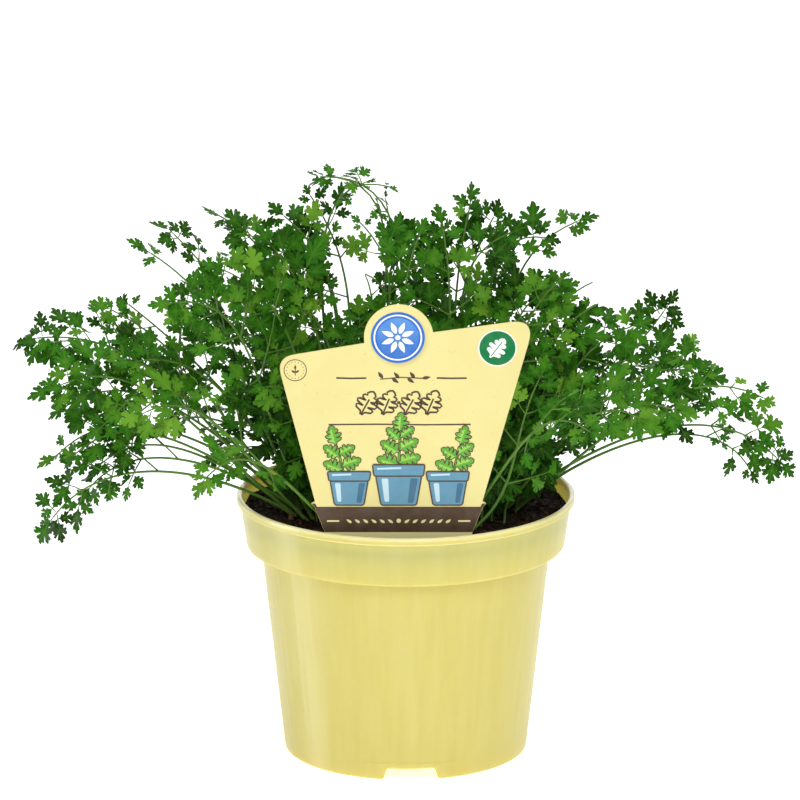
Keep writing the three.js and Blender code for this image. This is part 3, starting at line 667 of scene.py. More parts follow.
def crumbled(place):
    """How far the soil's crumbs and lumps lift its top at [x, y]."""
    x, y = place
    lumps = noise.fractal(Vector((x / LUMPS[0], y / LUMPS[0], 3.1)), 1.0, 2.0, 3)
    crumbs = noise.turbulence(Vector((x / CRUMBS[0], y / CRUMBS[0], 7.7)), 3, True)
    bank = np.interp(math.hypot(x, y), BANK_RADII, (0, SOIL_BANK))
    return SOIL_HEAP + bank + LUMPS[1] * lumps + CRUMBS[1] * (crumbs - 0.45)


def soil_body():
    """A plug that fills the pot, with a crumbled top."""
    inset = WALL + SOIL_GAP
    edge = soil_edge_radius()
    floor_z = FLOOR_UNDERSIDE_Z + FLOOR_THICKNESS + SOIL_GAP
    ledge = BAND_FOOT_Z + inset
    top_radii = np.linspace(SOIL_TOP_RADIUS, 0, 72)[:-1]
    profile = [(0, floor_z), (BODY_FOOT_RADIUS - inset, floor_z), (BODY_TOP_RADIUS - inset, ledge),
               (BAND_FOOT_RADIUS - inset, ledge), (edge, SOIL_EDGE_Z - 3)]
    profile += [(radius, soil_height(radius)) for radius in top_radii] + [(0, SOIL_CENTRE_Z)]

    def shape(radius, height, around):
        lifted = height.copy()
        for i, j in np.argwhere(height > SOIL_EDGE_Z - 1):
            r, a = radius[i, j], around[i, j]
            lifted[i, j] += crumbled((r * math.cos(a), r * math.sin(a)))
        return radius, lifted

    return turned(profile, 240, shape)


def soil_material(settings):
    """Peat: nearly black with brown and reddish crumbs, rough all over."""
    material, tree, shader, fine, blotches = surface("soil_peat", (700, 130), (0.95, 0.75), (0.9, 0.6), 0.12, dry=True)
    colour = mixed(tree, stepped(tree, blotches, 0.48, 0.72), tuple(settings.dark), tuple(settings.brown))
    flecked = mixed(tree, stepped(tree, fine, 0.6, 0.75, 0, 0.6), colour, tuple(settings.fibre))
    tree.links.new(flecked, shader.inputs["Base Color"])
    return material


def crumb_material(settings):
    """Fibres and bark crumbs, each in its own brown."""
    material, tree, shader, _, _ = surface("soil_crumbs", (1200, 300), (0.9, 0.7), (0.6, 0.2), 0.12, dry=True)
    browns = [tuple(brown) for brown in (settings.dark, settings.brown, settings.fibre)]
    tree.links.new(ramp(tree, vertex_tone(tree)[0], browns), shader.inputs["Base Color"])
    return material


def spot_on_soil(draws, least):
    """A place on the soil's top, away from its middle by at least that share of the area."""
    radius, around = LITTER_RADIUS * math.sqrt(draws.uniform(least, 1)), draws.uniform(0, TAU)
    return np.array([radius * math.cos(around), radius * math.sin(around)])


def soil_crumbs(count, fibre_count):
    """Crumbs half sunk in the top of the soil, and fibres that lie on it."""
    draws = np.random.default_rng(SEED)
    parts = Parts()
    for _ in range(count):
        x, y = spot_on_soil(draws, 0.03)
        size = draws.uniform(*CRUMB_SIZES) ** 1.5
        z = soil_height(math.hypot(x, y)) + crumbled((x, y))
        points, faces = turned([(0, -1), (0.75, -0.62), (1, 0), (0.7, 0.66), (0, 1)], 7)
        stretch = draws.uniform(0.6, 1.3, 3) * size
        points = points * (1 + draws.uniform(-0.22, 0.22, (len(points), 1))) * stretch
        turn = np.array(Matrix.Rotation(draws.uniform(0, TAU), 3, Vector(draws.normal(size=3))))
        parts.add(points @ turn.T + [x, y, z + 0.25 * size], faces, 0, (draws.beta(1.2, 3.5), 0, 0))
    for _ in range(fibre_count):
        place = spot_on_soil(draws, 0.1)
        heading, curl = draws.uniform(0, TAU), draws.normal(0, 0.9)
        length = draws.uniform(*FIBRE_LENGTHS)
        line = []
        for step in range(7):
            inside = place * min(1, (LITTER_RADIUS - 0.4) / max(np.linalg.norm(place), 1))
            arch = 0.5 * math.sin(math.pi * step / 6) * draws.uniform(0.2, 1.6)
            reach = float(np.linalg.norm(inside))
            line.append([*inside, soil_height(reach) + crumbled(inside) * 0.9 + 0.15 + arch])
            place = place + length / 6 * np.array([math.cos(heading), math.sin(heading)])
            heading += curl / 6 + draws.normal(0, 0.25)
        thick = draws.uniform(*FIBRE_RADII)
        parts.add(*tube(line, [thick * share for share in FIBRE_TAPER], 5), 0, (draws.uniform(0.45, 1.0), 0, 0))
    return parts


# The leaves

def draws_from(seed):
    """The same small source of numbers from 0 to 1 as the solids are drawn with."""
    state = (seed * 2654435761) & 0xFFFFFFFF
    while True:
        state = (state * 1664525 + 1013904223) & 0xFFFFFFFF
        yield state / 4294967296


LEAF_KEYS = ("tip", "lean", "pitch", "blade", "face", "kind", "tone")
MOST_MISS = 3.0


def root_shift(draws):
    return [ROOT_SCATTER * (next(draws) - 0.5) for _ in range(2)]


def all_leaves():
    """Every leaf as a dictionary of its place, lean, pitch, blade, face, kind and tone."""
    leaves = [dict(zip(LEAF_KEYS, row), outward=OUTWARD_TURN) for row in OUTER_LEAVES]
    for i in range(BACK_LEAF_COUNT):
        reach, height, *rest = BACK_TIERS[i % len(BACK_TIERS)]
        azimuth = math.radians(lerp(*BACK_AZIMUTHS, i / (BACK_LEAF_COUNT - 1)))
        tip = (reach * math.cos(azimuth), reach * math.sin(azimuth), height)
        leaves.append(dict(zip(LEAF_KEYS, (tip, *rest, 0.4)), outward=1))
    for i, leaf in enumerate(leaves):
        leaf["root_shift"] = root_shift(draws_from(SEED + SEED_STEP * (i + 1)))
        leaf["root"] = OWN_ROOTS.get(i)
        leaf["seed"] = SEED + i
        leaf["name"] = f"leaf_{i + 1:02d}"
    return leaves


def filling_leaves():
    """The leaves that only this scene has, in the same form."""
    leaves = [dict(zip(LEAF_KEYS, row), outward=OUTWARD_TURN) for row in FILLING_LEAVES]
    draws = draws_from(SEED)
    for i, leaf in enumerate(leaves):
        leaf["root_shift"] = root_shift(draws)
        leaf["root"] = FILLING_ROOTS.get(i)
        leaf["seed"] = SEED - 1 - i
    return leaves


def nudge_of(step):
    turn = GOLDEN_ANGLE * step
    direction = np.array([math.cos(turn), math.sin(turn), math.cos(NUDGE_RISE_TURNS * turn)])
    return direction * NUDGE_STEP * math.sqrt(step)


def root_of(leaf, nudge):
    x, y = leaf["tip"][:2]
    reach = math.hypot(x, y)
    radius = lerp(*ROOT_RING, min(1, reach / ROOT_FULL_REACH))
    shift = leaf["root_shift"]
    aim = leaf["root"] or (radius * x / reach + shift[0], radius * y / reach + shift[1])
    x = aim[0] + ROOT_NUDGE * nudge[0]
    y = max(aim[1] + ROOT_NUDGE * nudge[1], ROOT_FRONT_LIMIT)
    return np.array([x, y, soil_height(math.hypot(x, y)) + STALK_LIFT])


def fitted_nudge(leaf):
    """The nudge that brings the leaf's root and tip to those of its solid in the frame."""
    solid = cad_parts[leaf["name"]].data
    places = np.zeros(len(solid.vertices) * 3)
    solid.vertices.foreach_get("co", places)
    places = places.reshape(-1, 3) / MM
    foot = places[places[:, 2] < places[:, 2].min() + 3]
    foot = (foot.min(axis=0) + foot.max(axis=0)) / 2

    def miss(step):
        nudge = nudge_of(step)
        tip_gap = np.linalg.norm(places - (np.array(leaf["tip"]) + nudge), axis=1).min()
        return tip_gap + np.linalg.norm((root_of(leaf, nudge) - foot)[:2])

    best = min(range(MOST_NUDGES), key=miss)
    if miss(best) > MOST_MISS:
        raise RuntimeError(f"{leaf['name']} isn't where its solid is")
    return nudge_of(best)


class LeafLine:
    """The line of a leaf from root to tip, and the directions of its blade."""

    def __init__(self, leaf, nudge):
        root = root_of(leaf, nudge)
        tip = np.array(leaf["tip"], float) + nudge
        outward = unit((tip - root) * [1, 1, 0])
        chord = np.linalg.norm(tip - root)
        lean, pitch = math.radians(leaf["lean"]), math.radians(leaf["pitch"])
        rising = outward * math.sin(lean) + UPWARDS * math.cos(lean)
        ending = outward * math.cos(pitch) + UPWARDS * math.sin(pitch)
        self.corners = [root, root + rising * ROOT_HANDLE * chord, tip - ending * TIP_HANDLE * chord, tip]
        self.shares = np.linspace(0, 1, LINE_STEPS + 1)
        line = self.bezier(self.shares)[0]
        self.lengths = np.concatenate([[0], np.cumsum(np.linalg.norm(np.diff(line, axis=0), axis=1))])
        self.length = self.lengths[-1]
        self.blade_start = self.length - leaf["blade"]
        self.forward = unit(tip - self.place(self.blade_start)[0])
        face, level = math.radians(leaf["face"]), TO_THE_FRONT
        towards = level + (unit(np.array([*leaf["tip"][:2], 0])) - level) * leaf["outward"]
        facing = unit(towards) * math.sin(face) + UPWARDS * math.cos(face)
        self.depth = unit(facing - self.forward * facing.dot(self.forward))
        self.width = np.cross(self.depth, self.forward)

    def bezier(self, share):
        """Places and directions at shares of the curve's own parameter."""
        t = np.atleast_1d(share)[:, None]
        a, b, c, d = self.corners
        places = a * (1 - t) ** 3 + 3 * b * t * (1 - t) ** 2 + 3 * c * t ** 2 * (1 - t) + d * t ** 3
        ways = (b - a) * (1 - t) ** 2 + 2 * (c - b) * t * (1 - t) + (d - c) * t ** 2
        return places, ways / np.linalg.norm(ways, axis=1, keepdims=True)

    def place(self, distance):
        """The place and direction at a distance along the leaf."""
        places, ways = self.bezier(np.interp(distance, self.lengths, self.shares))
        return places[0], ways[0]

    def blade_point(self, blade, along, out, lift=0.0):
        """The place on the blade's middle surface, its direction along, and its direction outwards."""
        at, way = self.place(self.blade_start + along)
        height = (BLADE_CUP + lift) * abs(out) - BLADE_SAG * out * out / blade
        slope = math.copysign(BLADE_CUP + lift, out) - 2 * BLADE_SAG * out / blade
        outward = unit(self.width + self.depth * slope)
        return at + self.width * out + self.depth * height, way, outward


def blade_leaflets(leaf, line, draws):
    """The leaflets and pinna stalks of a blade on its line. A leaflet is [along, out], side, heading, length,
    lift and how large its pinna has grown, and a stalk is its two ends and lift. Headings turn from the rachis
    towards the side's outward direction."""
    sides, feet, lengths, top = LEAF_KINDS[leaf["kind"]]
    blade = leaf["blade"]
    leaflets, stalks = [], []
    for side in (-1, 1):
        for pinna, shares in enumerate(sides):
            lift = PINNA_LIFT * (2 * next(draws) - 1)
            reach = blade * lengths[pinna] * lerp(0.9, 1.1, next(draws))
            foot = blade * (feet[pinna] + PINNA_STEP * next(draws)) + PINNA_FOOT
            heading = PINNA_ANGLES[pinna] + PINNA_ANGLE_SPREAD * (next(draws) - 0.5)
            spots = [(foot + share * reach * math.cos(heading), side * share * reach * math.sin(heading))
                     for share in (0.5, 0.9)]
            growth = min(vigour(line.blade_point(blade, *spot, lift)[0]) for spot in spots)
            if growth < LEAST_GROWTH:
                continue
            reach *= growth

            def axis(share, across=0.0):
                along = foot + share * reach * math.cos(heading) - across * math.sin(heading)
                out = RACHIS_HALF_WIDTH + share * reach * math.sin(heading) + across * math.cos(heading)
                return along, side * out

            for share in shares:
                size = reach * lerp(LEAFLET_AT_FOOT, LEAFLET_AT_TIP, share)
                for hand in (-1, 1):
                    turn = heading + hand * LEAFLET_ANGLE
                    leaflets.append((axis(share, hand * 0.3), side, turn, size, lift, growth))
            end = END_LEAFLET_STARTS[len(shares)]
            leaflets.append((axis(end), side, heading, reach * (1 - end), lift, growth))
            stalks.append(((foot, 0.0), axis(end), lift))
        start = top * blade
        leaflets.append(((start, side * RACHIS_HALF_WIDTH), side, TOP_LEAFLET_ANGLE, TOP_LEAFLET * blade, 0.0, 1.0))
    leaflets.append(((top * blade + 0.03 * blade, 0.0), 1, 0.0, blade * (1 - top - 0.03), 0.0, 1.0))
    return leaflets, stalks


# One side of a leaflet's edge from its tip to its foot, as seen from its heart: degrees from the tip, reach, and
# how strongly a vein runs there. It has a toothed end lobe and a toothed side lobe, with a deep cut between them.
LEAFLET_EDGE = (
    (4, 1.0, 0.6), (9, 0.95, 0.3), (13, 0.76, 0.0), (22, 0.85, 0.5), (31, 0.77, 0.3), (37, 0.32, 0.0),
    (45, 0.7, 0.3), (53, 0.85, 0.6), (63, 0.85, 0.3), (70, 0.68, 0.0), (77, 0.82, 0.5), (88, 0.77, 0.3),
    (100, 0.36, 0.0), (111, 0.58, 0.4), (127, 0.54, 0.2), (157, 0.46, 0.0), (173, 0.6, 0.5),
)
LEAFLET_HEART = 0.42
BLADE_THICKNESS = 0.24

# How leaflets differ. Pitch, cup, arch and the turn of a trio's side leaflets have a middle and a spread, width and
# the reach of side lobes and edges a range. Waves are in shares of the length, veins in millimetres.
ROLL_SPREAD = 0.3
LEAFLET_PITCH = (-0.1, 0.25)
LEAFLET_WIDTH = (0.74, 1.0)
LEAFLET_CUP = (0.25, 0.35)
LEAFLET_ARCH = (0.16, 0.14)
SIDE_REACH = (0.9, 1.12)
EDGE_REACH = (0.95, 1.05)
LEAFLET_TONE_SPREAD = 0.09
TRIO_TONE_SPREAD = 0.13
TRIO_TURN = (1.12, 0.14)
WAVE_DEPTH = 0.035
WAVE_COUNT = 9
VEIN_DEPTH = 0.06

# Stalks: how thick and how pale they are along their length, the stem's tone and how far it follows the leaf's,
# the radius of a pinna's stalk at its ends, and how deep a stem stands in the soil.
STEM_SHARES = (0, 0.04, 0.12, 0.6, 1)
STEM_RADII = (0.84, 0.72, 0.6, 0.44, 0.26)
PALE_SHARES = (0, 0.05, 0.16)
PALENESS = (0.5, 0.25, 0.0)
STEM_TONE = (0.43, 0.3)
PINNA_STALK_RADII = (0.32, 0.2)
BURIED = 5

# Young leaves: azimuths from the pot's right or left round to its back, distances from its middle, heights, leans
# from upright, tones kept dark as painted shade, how far to the front they may stand, the sizes of their leaflets,
# their stalk's radii and tone, also dark as painted shade, and the share of the height at which it bends.
YOUNG_AZIMUTHS = (-0.75, 1.3)
YOUNG_RADII = (12, 43)
YOUNG_HEIGHTS = (10, 52)
YOUNG_LEANS = (0.1, 0.75)
YOUNG_PAINTED_SHADE_TONES = (0.0, 0.2)
YOUNG_FRONT_LIMIT = -36
YOUNG_TOP_SIZES = (6, 9)
YOUNG_SIDE_SIZES = ((-2, 7.5), (-4, 8.5))
YOUNG_STALK_RADII = (0.42, 0.16)
YOUNG_STALK_PAINTED_SHADE_TONE = 0.25
YOUNG_KNEE = 0.7

# Leaflets stand in threes where there is room: the sizes of the single, middle and side ones, and where the stalk
# forks and ends.
LEAST_TRIO = 6.5
SINGLE_SIZE = 1.3
TRIO_MIDDLE = (0.98, 1.22)
TRIO_SIDES = (0.74, 1.0)
TRIO_FORK = 0.24
TRIO_REACH = 0.14
TRIO_STALK_RADIUS = 0.2

# Where the plant is thin: places as the camera sees them, [x, height], with a radius and the size of leaflets.
SEEN_RISE = 0.268
LEAST_GROWTH = 0.5
THIN_PLACES = (
    ((-82, 106), 14, 0.35), ((-38, 204), 8, 0.5), ((-17, 175), 9, 0.35), ((-92, 168), 11, 0.45),
    ((69, 169), 11, 0.4), ((60, 180), 9, 0.5), ((72, 106), 13, 0.35), ((98, 104), 11, 0.4), ((124, 141), 11, 0.6),
    ((-60, 98), 9, 0.4), ((64, 95), 9, 0.3), ((-56, 138), 14, 0.7), ((-79, 144), 8, 0.7), ((-131, 132), 6, 0.5),
    ((-90, 85), 12, 0.3), ((-83, 177), 8, 0.4), ((-12, 203), 9, 0.5), ((-134, 119), 8, 0.4), ((-15, 191), 6, 0.5),
    ((-106, 81), 8, 0.4), ((-25, 158), 8, 0.5), ((35, 201), 7, 0.4), ((58, 171), 7, 0.5), ((111, 148), 8, 0.5),
    ((131, 131), 6, 0.45), ((108, 109), 9, 0.4),
)

# Leaflets behind and low down are painted darker, as painted shade: from where to where, and by how much.
BEHIND = (-8, 34)
BEHIND_PAINTED_SHADE = 0.24
LOW = (132, 100)
LOW_PAINTED_SHADE = 0.2


def leaflet_template(draws):
    """A flat leaflet of length 1 from its foot at the origin along +X: a centre, a middle ring and a rim, as
    places, how far out each is from centre to rim, and its vein mask."""
    rows = [(0.0, 1.0, 1.0), (180.0, LEAFLET_HEART / (1 - LEAFLET_HEART), 1.0)]
    for hand in (-1, 1):
        side_reach = draws.uniform(*SIDE_REACH)
        for angle, reach, vein in LEAFLET_EDGE:
            reach *= draws.uniform(*EDGE_REACH) * lerp(1, side_reach, math.sin(math.radians(angle)))
            rows.append((hand * (angle + draws.normal(0, 1.0)), reach, vein))
    angle, reach, vein = np.array(sorted(rows)).T
    angle, reach = np.radians(angle), reach * (1 - LEAFLET_HEART)
    rim = np.stack([reach * np.cos(angle), reach * np.sin(angle)], axis=-1)
    flat = np.concatenate([rim, rim * 0.5, rim * 0.5, [[0, 0], [0, 0]]]) + [LEAFLET_HEART, 0]
    count = len(rim)
    spread = np.concatenate([np.ones(count), np.full(2 * count, 0.5), [0, 0]])
    faces_up = np.concatenate([np.zeros(count), np.ones(count), -np.ones(count), [1, -1]])
    vein = np.concatenate([vein * 0.5, vein, vein, [1, 1]])
    here, there = neighbours(count)
    up, down = count + here, 2 * count + here
    quads = np.concatenate([
        np.stack([here, there, count + there, up], axis=-1),
        np.stack([there, here, down, 2 * count + there], axis=-1),
    ])
    fans = np.concatenate([
        np.stack([up, count + there, np.full(count, 3 * count)], axis=-1),
        np.stack([2 * count + there, down, np.full(count, 3 * count + 1)], axis=-1),
    ])
    return {"flat": flat, "spread": spread, "up": faces_up, "vein": vein, "faces": [quads, fans], "rim": count}


class Foliage:
    """Leaflets, stalks and their tones, gathered for one piece."""

    def __init__(self, templates, seed):
        self.parts = Parts()
        self.templates = templates
        self.draws = np.random.default_rng(seed)

    def leaflet(self, foot, forward, normal, length, tone):
        """One leaflet, turned a little at random about its own axes, cupped, arched and waved."""
        draws = self.draws
        template = self.templates[draws.integers(len(self.templates))]
        normal = unit(normal - forward * normal.dot(forward))
        roll, pitch = draws.normal(0, ROLL_SPREAD), draws.normal(*LEAFLET_PITCH)
        forward = unit(forward * math.cos(pitch) + normal * math.sin(pitch))
        normal = unit(normal - forward * normal.dot(forward))
        side = np.cross(normal, forward)
        side, normal = side * math.cos(roll) + normal * math.sin(roll), normal * math.cos(roll) - side * math.sin(roll)
        x, y = (template["flat"] * [1, draws.uniform(*LEAFLET_WIDTH)]).T
        cup, arch, wave = draws.normal(*LEAFLET_CUP), draws.normal(*LEAFLET_ARCH), draws.uniform(0, TAU)
        rise = cup * y * y - arch * x * x + WAVE_DEPTH * np.sin(WAVE_COUNT * y + wave) * np.abs(x)
        half = BLADE_THICKNESS / 2 * template["up"] * (1 - template["spread"] ** 2)
        height = length * rise + half - VEIN_DEPTH * template["vein"] * (template["spread"] < 1)
        points = foot + length * (np.outer(x, forward) + np.outer(y, side)) + np.outer(height, normal)
        shade = np.clip(tone + draws.normal(0, LEAFLET_TONE_SPREAD), 0, 1)
        tones = np.stack([np.full(len(x), shade), template["vein"], (template["up"] < 0) * 1.0], axis=-1)
        self.parts.add(points, template["faces"], 0, tones)

    def stalk(self, line, radii, tone=0.6, pale=0.0, sides=6):
        points, faces = tube(line, radii, sides)
        pales = np.repeat(np.broadcast_to(pale, (len(line),)), sides)
        pales = np.append(pales, [pales[0], pales[-1]])
        tones = np.stack([np.full(len(points), tone), np.zeros(len(points)), pales], axis=-1)
        self.parts.add(points, faces, 1, tones)

    def piece(self, name, materials, replaced=()):
        """The piece, with the thin edges of its leaflets kept crisp."""
        return self.parts.piece(name, materials, "leaf", replaced, sharp_degrees=75)

    def trio(self, foot, forward, normal, length, tone):
        """Three leaflets on a short stalk, or a single one where there is no room for three."""
        tone += self.draws.normal(0, TRIO_TONE_SPREAD)
        if length < LEAST_TRIO:
            self.leaflet(foot, forward, normal, length * SINGLE_SIZE, tone)
            return
        normal = unit(normal - forward * normal.dot(forward))
        side = np.cross(normal, forward)
        fork = foot + forward * length * TRIO_FORK
        middle = fork + forward * length * TRIO_REACH
        path = [foot, lerp(foot, fork, 0.5) - normal * 0.1, middle + forward * 0.3]
        self.stalk(path, TRIO_STALK_RADIUS, tone, sides=5)
        self.leaflet(middle, forward, normal, length * self.draws.uniform(*TRIO_MIDDLE), tone)
        for hand in (-1, 1):
            turn = hand * self.draws.normal(*TRIO_TURN)
            outward = forward * math.cos(turn) + side * math.sin(turn)
            self.leaflet(fork, outward, normal, length * self.draws.uniform(*TRIO_SIDES), tone)


def vigour(place):
    """How large a pinna or leaflet grows at a place."""
    size = 1.0
    for middle, radius, least in THIN_PLACES:
        away = math.hypot(place[0] - middle[0], place[2] + SEEN_RISE * place[1] - middle[1]) / radius
        size = min(size, lerp(least, 1, min(max(2 * away - 1, 0), 1)))
    return size


def painted_shade_at(place):
    """How much painted shade darkens a leaflet at a place, behind and low down."""
    behind = np.interp(place[1], BEHIND, (0, BEHIND_PAINTED_SHADE))
    return behind + np.interp(-place[2], [-height for height in LOW], (0, LOW_PAINTED_SHADE))


def grow_leaf(foliage, leaf, nudge):
    """One leaf: its stalk and rachis, the stalks of its pinnae, and all leaflets."""
    line = LeafLine(leaf, nudge)
    blade, tone = leaf["blade"], leaf["tone"]
    draws = draws_from(leaf["seed"])
    distances = np.linspace(0, line.blade_start + blade * 0.86, 30)
    stem = np.array([line.place(d)[0] for d in distances])
    stem = np.concatenate([[stem[0] - UPWARDS * BURIED, stem[0] - UPWARDS * 2], stem])
    shares = np.concatenate([[0, 0.01], distances / distances[-1]])
    radii, pale = np.interp(shares, STEM_SHARES, STEM_RADII), np.interp(shares, PALE_SHARES, PALENESS)
    foliage.stalk(stem, radii, STEM_TONE[0] + STEM_TONE[1] * tone, pale, 8)
    leaflets, stalks = blade_leaflets(leaf, line, draws)
    for start, end, lift in stalks:
        path = [line.blade_point(blade, lerp(start[0], end[0], t), lerp(start[1], end[1], t), lift)[0]
                for t in np.linspace(0, 1, 6)]
        foliage.stalk(path, np.linspace(*PINNA_STALK_RADII, 6), 0.6)
    for (along, out), side, heading, length, lift, growth in leaflets:
        foot, way, outward = line.blade_point(blade, along, out if out else 1e-6, lift)
        if vigour(foot) < LEAST_GROWTH:
            continue
        length *= min(1, vigour(foot) / growth)
        sideways = outward * (side if heading else 0)
        forward = unit(way * math.cos(heading) + sideways * math.sin(heading))
        normal = unit(np.cross(way, outward))
        # Painted shade: leaflets behind and low down get a darker tone.
        foliage.trio(foot, forward, normal, length, tone - painted_shade_at(foot))


def young_leaves(foliage, count, side):
    """Small leaves on short stalks, which stand among the stalks of the big ones on one side, painted dark as shade.
    """
    draws = foliage.draws
    for _ in range(count):
        azimuth = draws.uniform(*YOUNG_AZIMUTHS)
        radius, height, lean = (draws.uniform(*spread) for spread in (YOUNG_RADII, YOUNG_HEIGHTS, YOUNG_LEANS))
        outward = np.array([side * math.cos(azimuth), math.sin(azimuth), 0])
        foot = outward * radius
        foot[1] = max(foot[1], YOUNG_FRONT_LIMIT)
        foot[2] = soil_height(radius)
        way = unit(outward + draws.normal(0, 0.35, 3) * [1, 1, 0])
        top = foot + way * height * math.tan(lean) + UPWARDS * height
        top[1] = max(top[1], YOUNG_FRONT_LIMIT)
        knee = foot + UPWARDS * height * YOUNG_KNEE
        line = np.array(bend(knee, foot - knee, top - knee, 9))
        # Painted shade: the young stalks get a dark tone.
        foliage.stalk(line, np.linspace(*YOUNG_STALK_RADII, 9), YOUNG_STALK_PAINTED_SHADE_TONE, np.linspace(0.3, 0, 9), 6)
        forward = unit(line[-1] - line[-3])
        normal = unit(UPWARDS + TO_THE_FRONT * draws.uniform(0.4, 1.6) - forward * 0.2)
        # Painted shade: the young leaves get dark tones.
        tone = draws.uniform(*YOUNG_PAINTED_SHADE_TONES)
        side_way = unit(np.cross(normal, forward))
        foliage.trio(line[-1], forward, normal, draws.uniform(*YOUNG_TOP_SIZES), tone)
        for rank, length in YOUNG_SIDE_SIZES:
            for hand in (-1, 1):
                turned_way = unit(forward * 0.5 + hand * side_way)
                foliage.trio(line[rank], turned_way, normal, length * draws.uniform(0.8, 1.1), tone)


# The label

def on_label(points):
    """Places on the card, as u, v and height out of its back, in millimetres."""
    u, v, w = np.asarray(points, float).T
    cos, sin = math.cos(math.pi / 2 + LABEL_LEAN), math.sin(math.pi / 2 + LABEL_LEAN)
    return np.stack([u + LABEL_X, v * cos - w * sin + LABEL_Y, v * sin + w * cos + POT_HEIGHT], axis=-1)


def arc(centre, radius, start, end, steps):
    """Points on an arc between two angles in degrees."""
    return [(centre[0] + radius * math.cos(a), centre[1] + radius * math.sin(a))
            for a in np.radians(np.linspace(start, end, steps))]


def rounded_corner(corner, back, onward, steps=10):
    """A corner rounded as the solid has it, by a curve that starts and ends a reach away from it."""
    corner, back, onward = (np.array(v, float) for v in (corner, back, onward))
    angle = math.acos(unit(back).dot(unit(onward)))
    reach = CORNER_RADIUS / math.tan(angle / 2)
    return bend(corner, unit(back) * reach, unit(onward) * reach, steps)


def card_outline():
    """The card from the tip of its stake up the right side and down the left."""
    right = [*LABEL_STAKE, *LABEL_EAR]
    left = [(-u, v) for u, v in reversed(right)]
    meetings = []
    for side, (u, v), slope in ((1, TOP_RIGHT, TOP_SLOPES[1]), (-1, TOP_LEFT, TOP_SLOPES[0])):
        height = v + slope * (side * HEAD_RADIUS - u) - HEAD_CENTRE[1]
        meetings.append(math.degrees(math.asin(height / HEAD_RADIUS)))
    back = np.subtract(right[-1], TOP_RIGHT)
    onward = np.subtract(left[0], TOP_LEFT)
    return [
        (0, STAKE_TIP_V), *right,
        *rounded_corner(TOP_RIGHT, back, (-1, -TOP_SLOPES[1])),
        *arc(HEAD_CENTRE, HEAD_RADIUS, meetings[0], 180 - meetings[1], 40),
        *rounded_corner(TOP_LEFT, (1, TOP_SLOPES[0]), onward),
        *left,
    ]


class Print:
    """Flat printed shapes in one ink, a hair above the card. Layers lie on each other."""

    LAYER = 0.035

    def __init__(self):
        self.parts = Parts()

    def shape(self, outline, layer=1):
        area = sum(a[0] * b[1] - b[0] * a[1] for a, b in zip(outline, [*outline[1:], outline[0]]))
        outline = outline if area > 0 else outline[::-1]
        points, faces = prism(outline, LABEL_THICKNESS - 0.1, LABEL_THICKNESS + self.LAYER * layer)
        self.parts.add(on_label(points), faces)

    def stroke(self, line, width, layer=1, closed=False):
        """A line of even width, given by its points."""
        line = np.asarray(line, float)
        if closed:
            line = np.concatenate([line, line[:1]])
        along = np.gradient(line, axis=0)
        if closed:
            along[0] = along[-1] = line[1] - line[-2]
        normal = np.stack([-along[:, 1], along[:, 0]], axis=-1)
        normal /= np.linalg.norm(normal, axis=1, keepdims=True) + 1e-9
        left, right = line + normal * width / 2, line - normal * width / 2
        low, high = LABEL_THICKNESS - 0.1, LABEL_THICKNESS + self.LAYER * layer
        rows = [np.c_[edge, np.full(len(line), level)] for edge, level in
                ((left, low), (right, low), (right, high), (left, high))]
        points = np.stack(rows, axis=1).reshape(-1, 3)
        if closed:
            points = points[:-4]
        end = len(points) - 4
        faces = [grid_faces(len(points) // 4, 4)]
        if closed:
            here, there = neighbours(4)
            faces.append(np.stack([end + here, end + there, there, here], axis=-1))
        else:
            faces.append([[3, 2, 1, 0], [end, end + 1, end + 2, end + 3]])
        self.parts.add(on_label(points), faces)

    def piece(self, name, material):
        return self.parts.piece(name, [material], "label_card", sharp_degrees=40)


def circle(centre, radius, steps=48):
    return arc(centre, radius, 0, 360 - 360 / steps, steps)


def beyond(foot, heading, ahead, aside=0.0):
    """A point ahead of a foot and aside of it, in a heading given in degrees."""
    cos, sin = math.cos(math.radians(heading)), math.sin(math.radians(heading))
    return foot[0] + ahead * cos - aside * sin, foot[1] + ahead * sin + aside * cos


def petal(foot, heading, length, width, steps=9):
    """A pointed oval from its foot in a heading given in degrees."""
    shares = np.linspace(0, 1, steps)
    half = width / 2 * np.sin(math.pi * shares ** 0.8)
    rows = [*zip(shares, half), *zip(shares[-2:0:-1], -half[-2:0:-1])]
    return [beyond(foot, heading, length * ahead, aside) for ahead, aside in rows]


def lobed(foot, heading, length, lobes=3):
    """A plain cut leaf from its foot: rounded teeth down both sides of a middle rib."""
    right = [(0.0, 0.035)]
    for i in range(lobes):
        low, high = 0.12 + 0.66 * i / lobes, 0.12 + 0.66 * (i + 1) / lobes
        reach = (0.34, 0.4, 0.28, 0.2)[i]
        right += [(low, 0.09), (lerp(low, high, 0.35), reach * 0.9), (lerp(low, high, 0.75), reach),
                  (high, reach * 0.8), (high, reach * 0.45)]
    right += [(0.86, 0.17), (0.95, 0.1), (1.0, 0.0)]
    rows = right + [(x, -y) for x, y in reversed(right[:-1])]
    return [beyond(foot, heading, length * ahead, length * aside) for ahead, aside in rows]


def rounded_box(left, right, foot_left, foot_right, low, high, radius):
    """A four-sided shape with rounded corners that may narrow towards its foot."""
    corners = [(foot_left, low), (foot_right, low), (right, high), (left, high)]
    outline = []
    for i, corner in enumerate(corners):
        here, before, after = (np.array(c, float) for c in (corner, corners[i - 1], corners[(i + 1) % 4]))
        outline += bend(here, unit(before - here) * radius, unit(after - here) * radius, 5)
    return outline


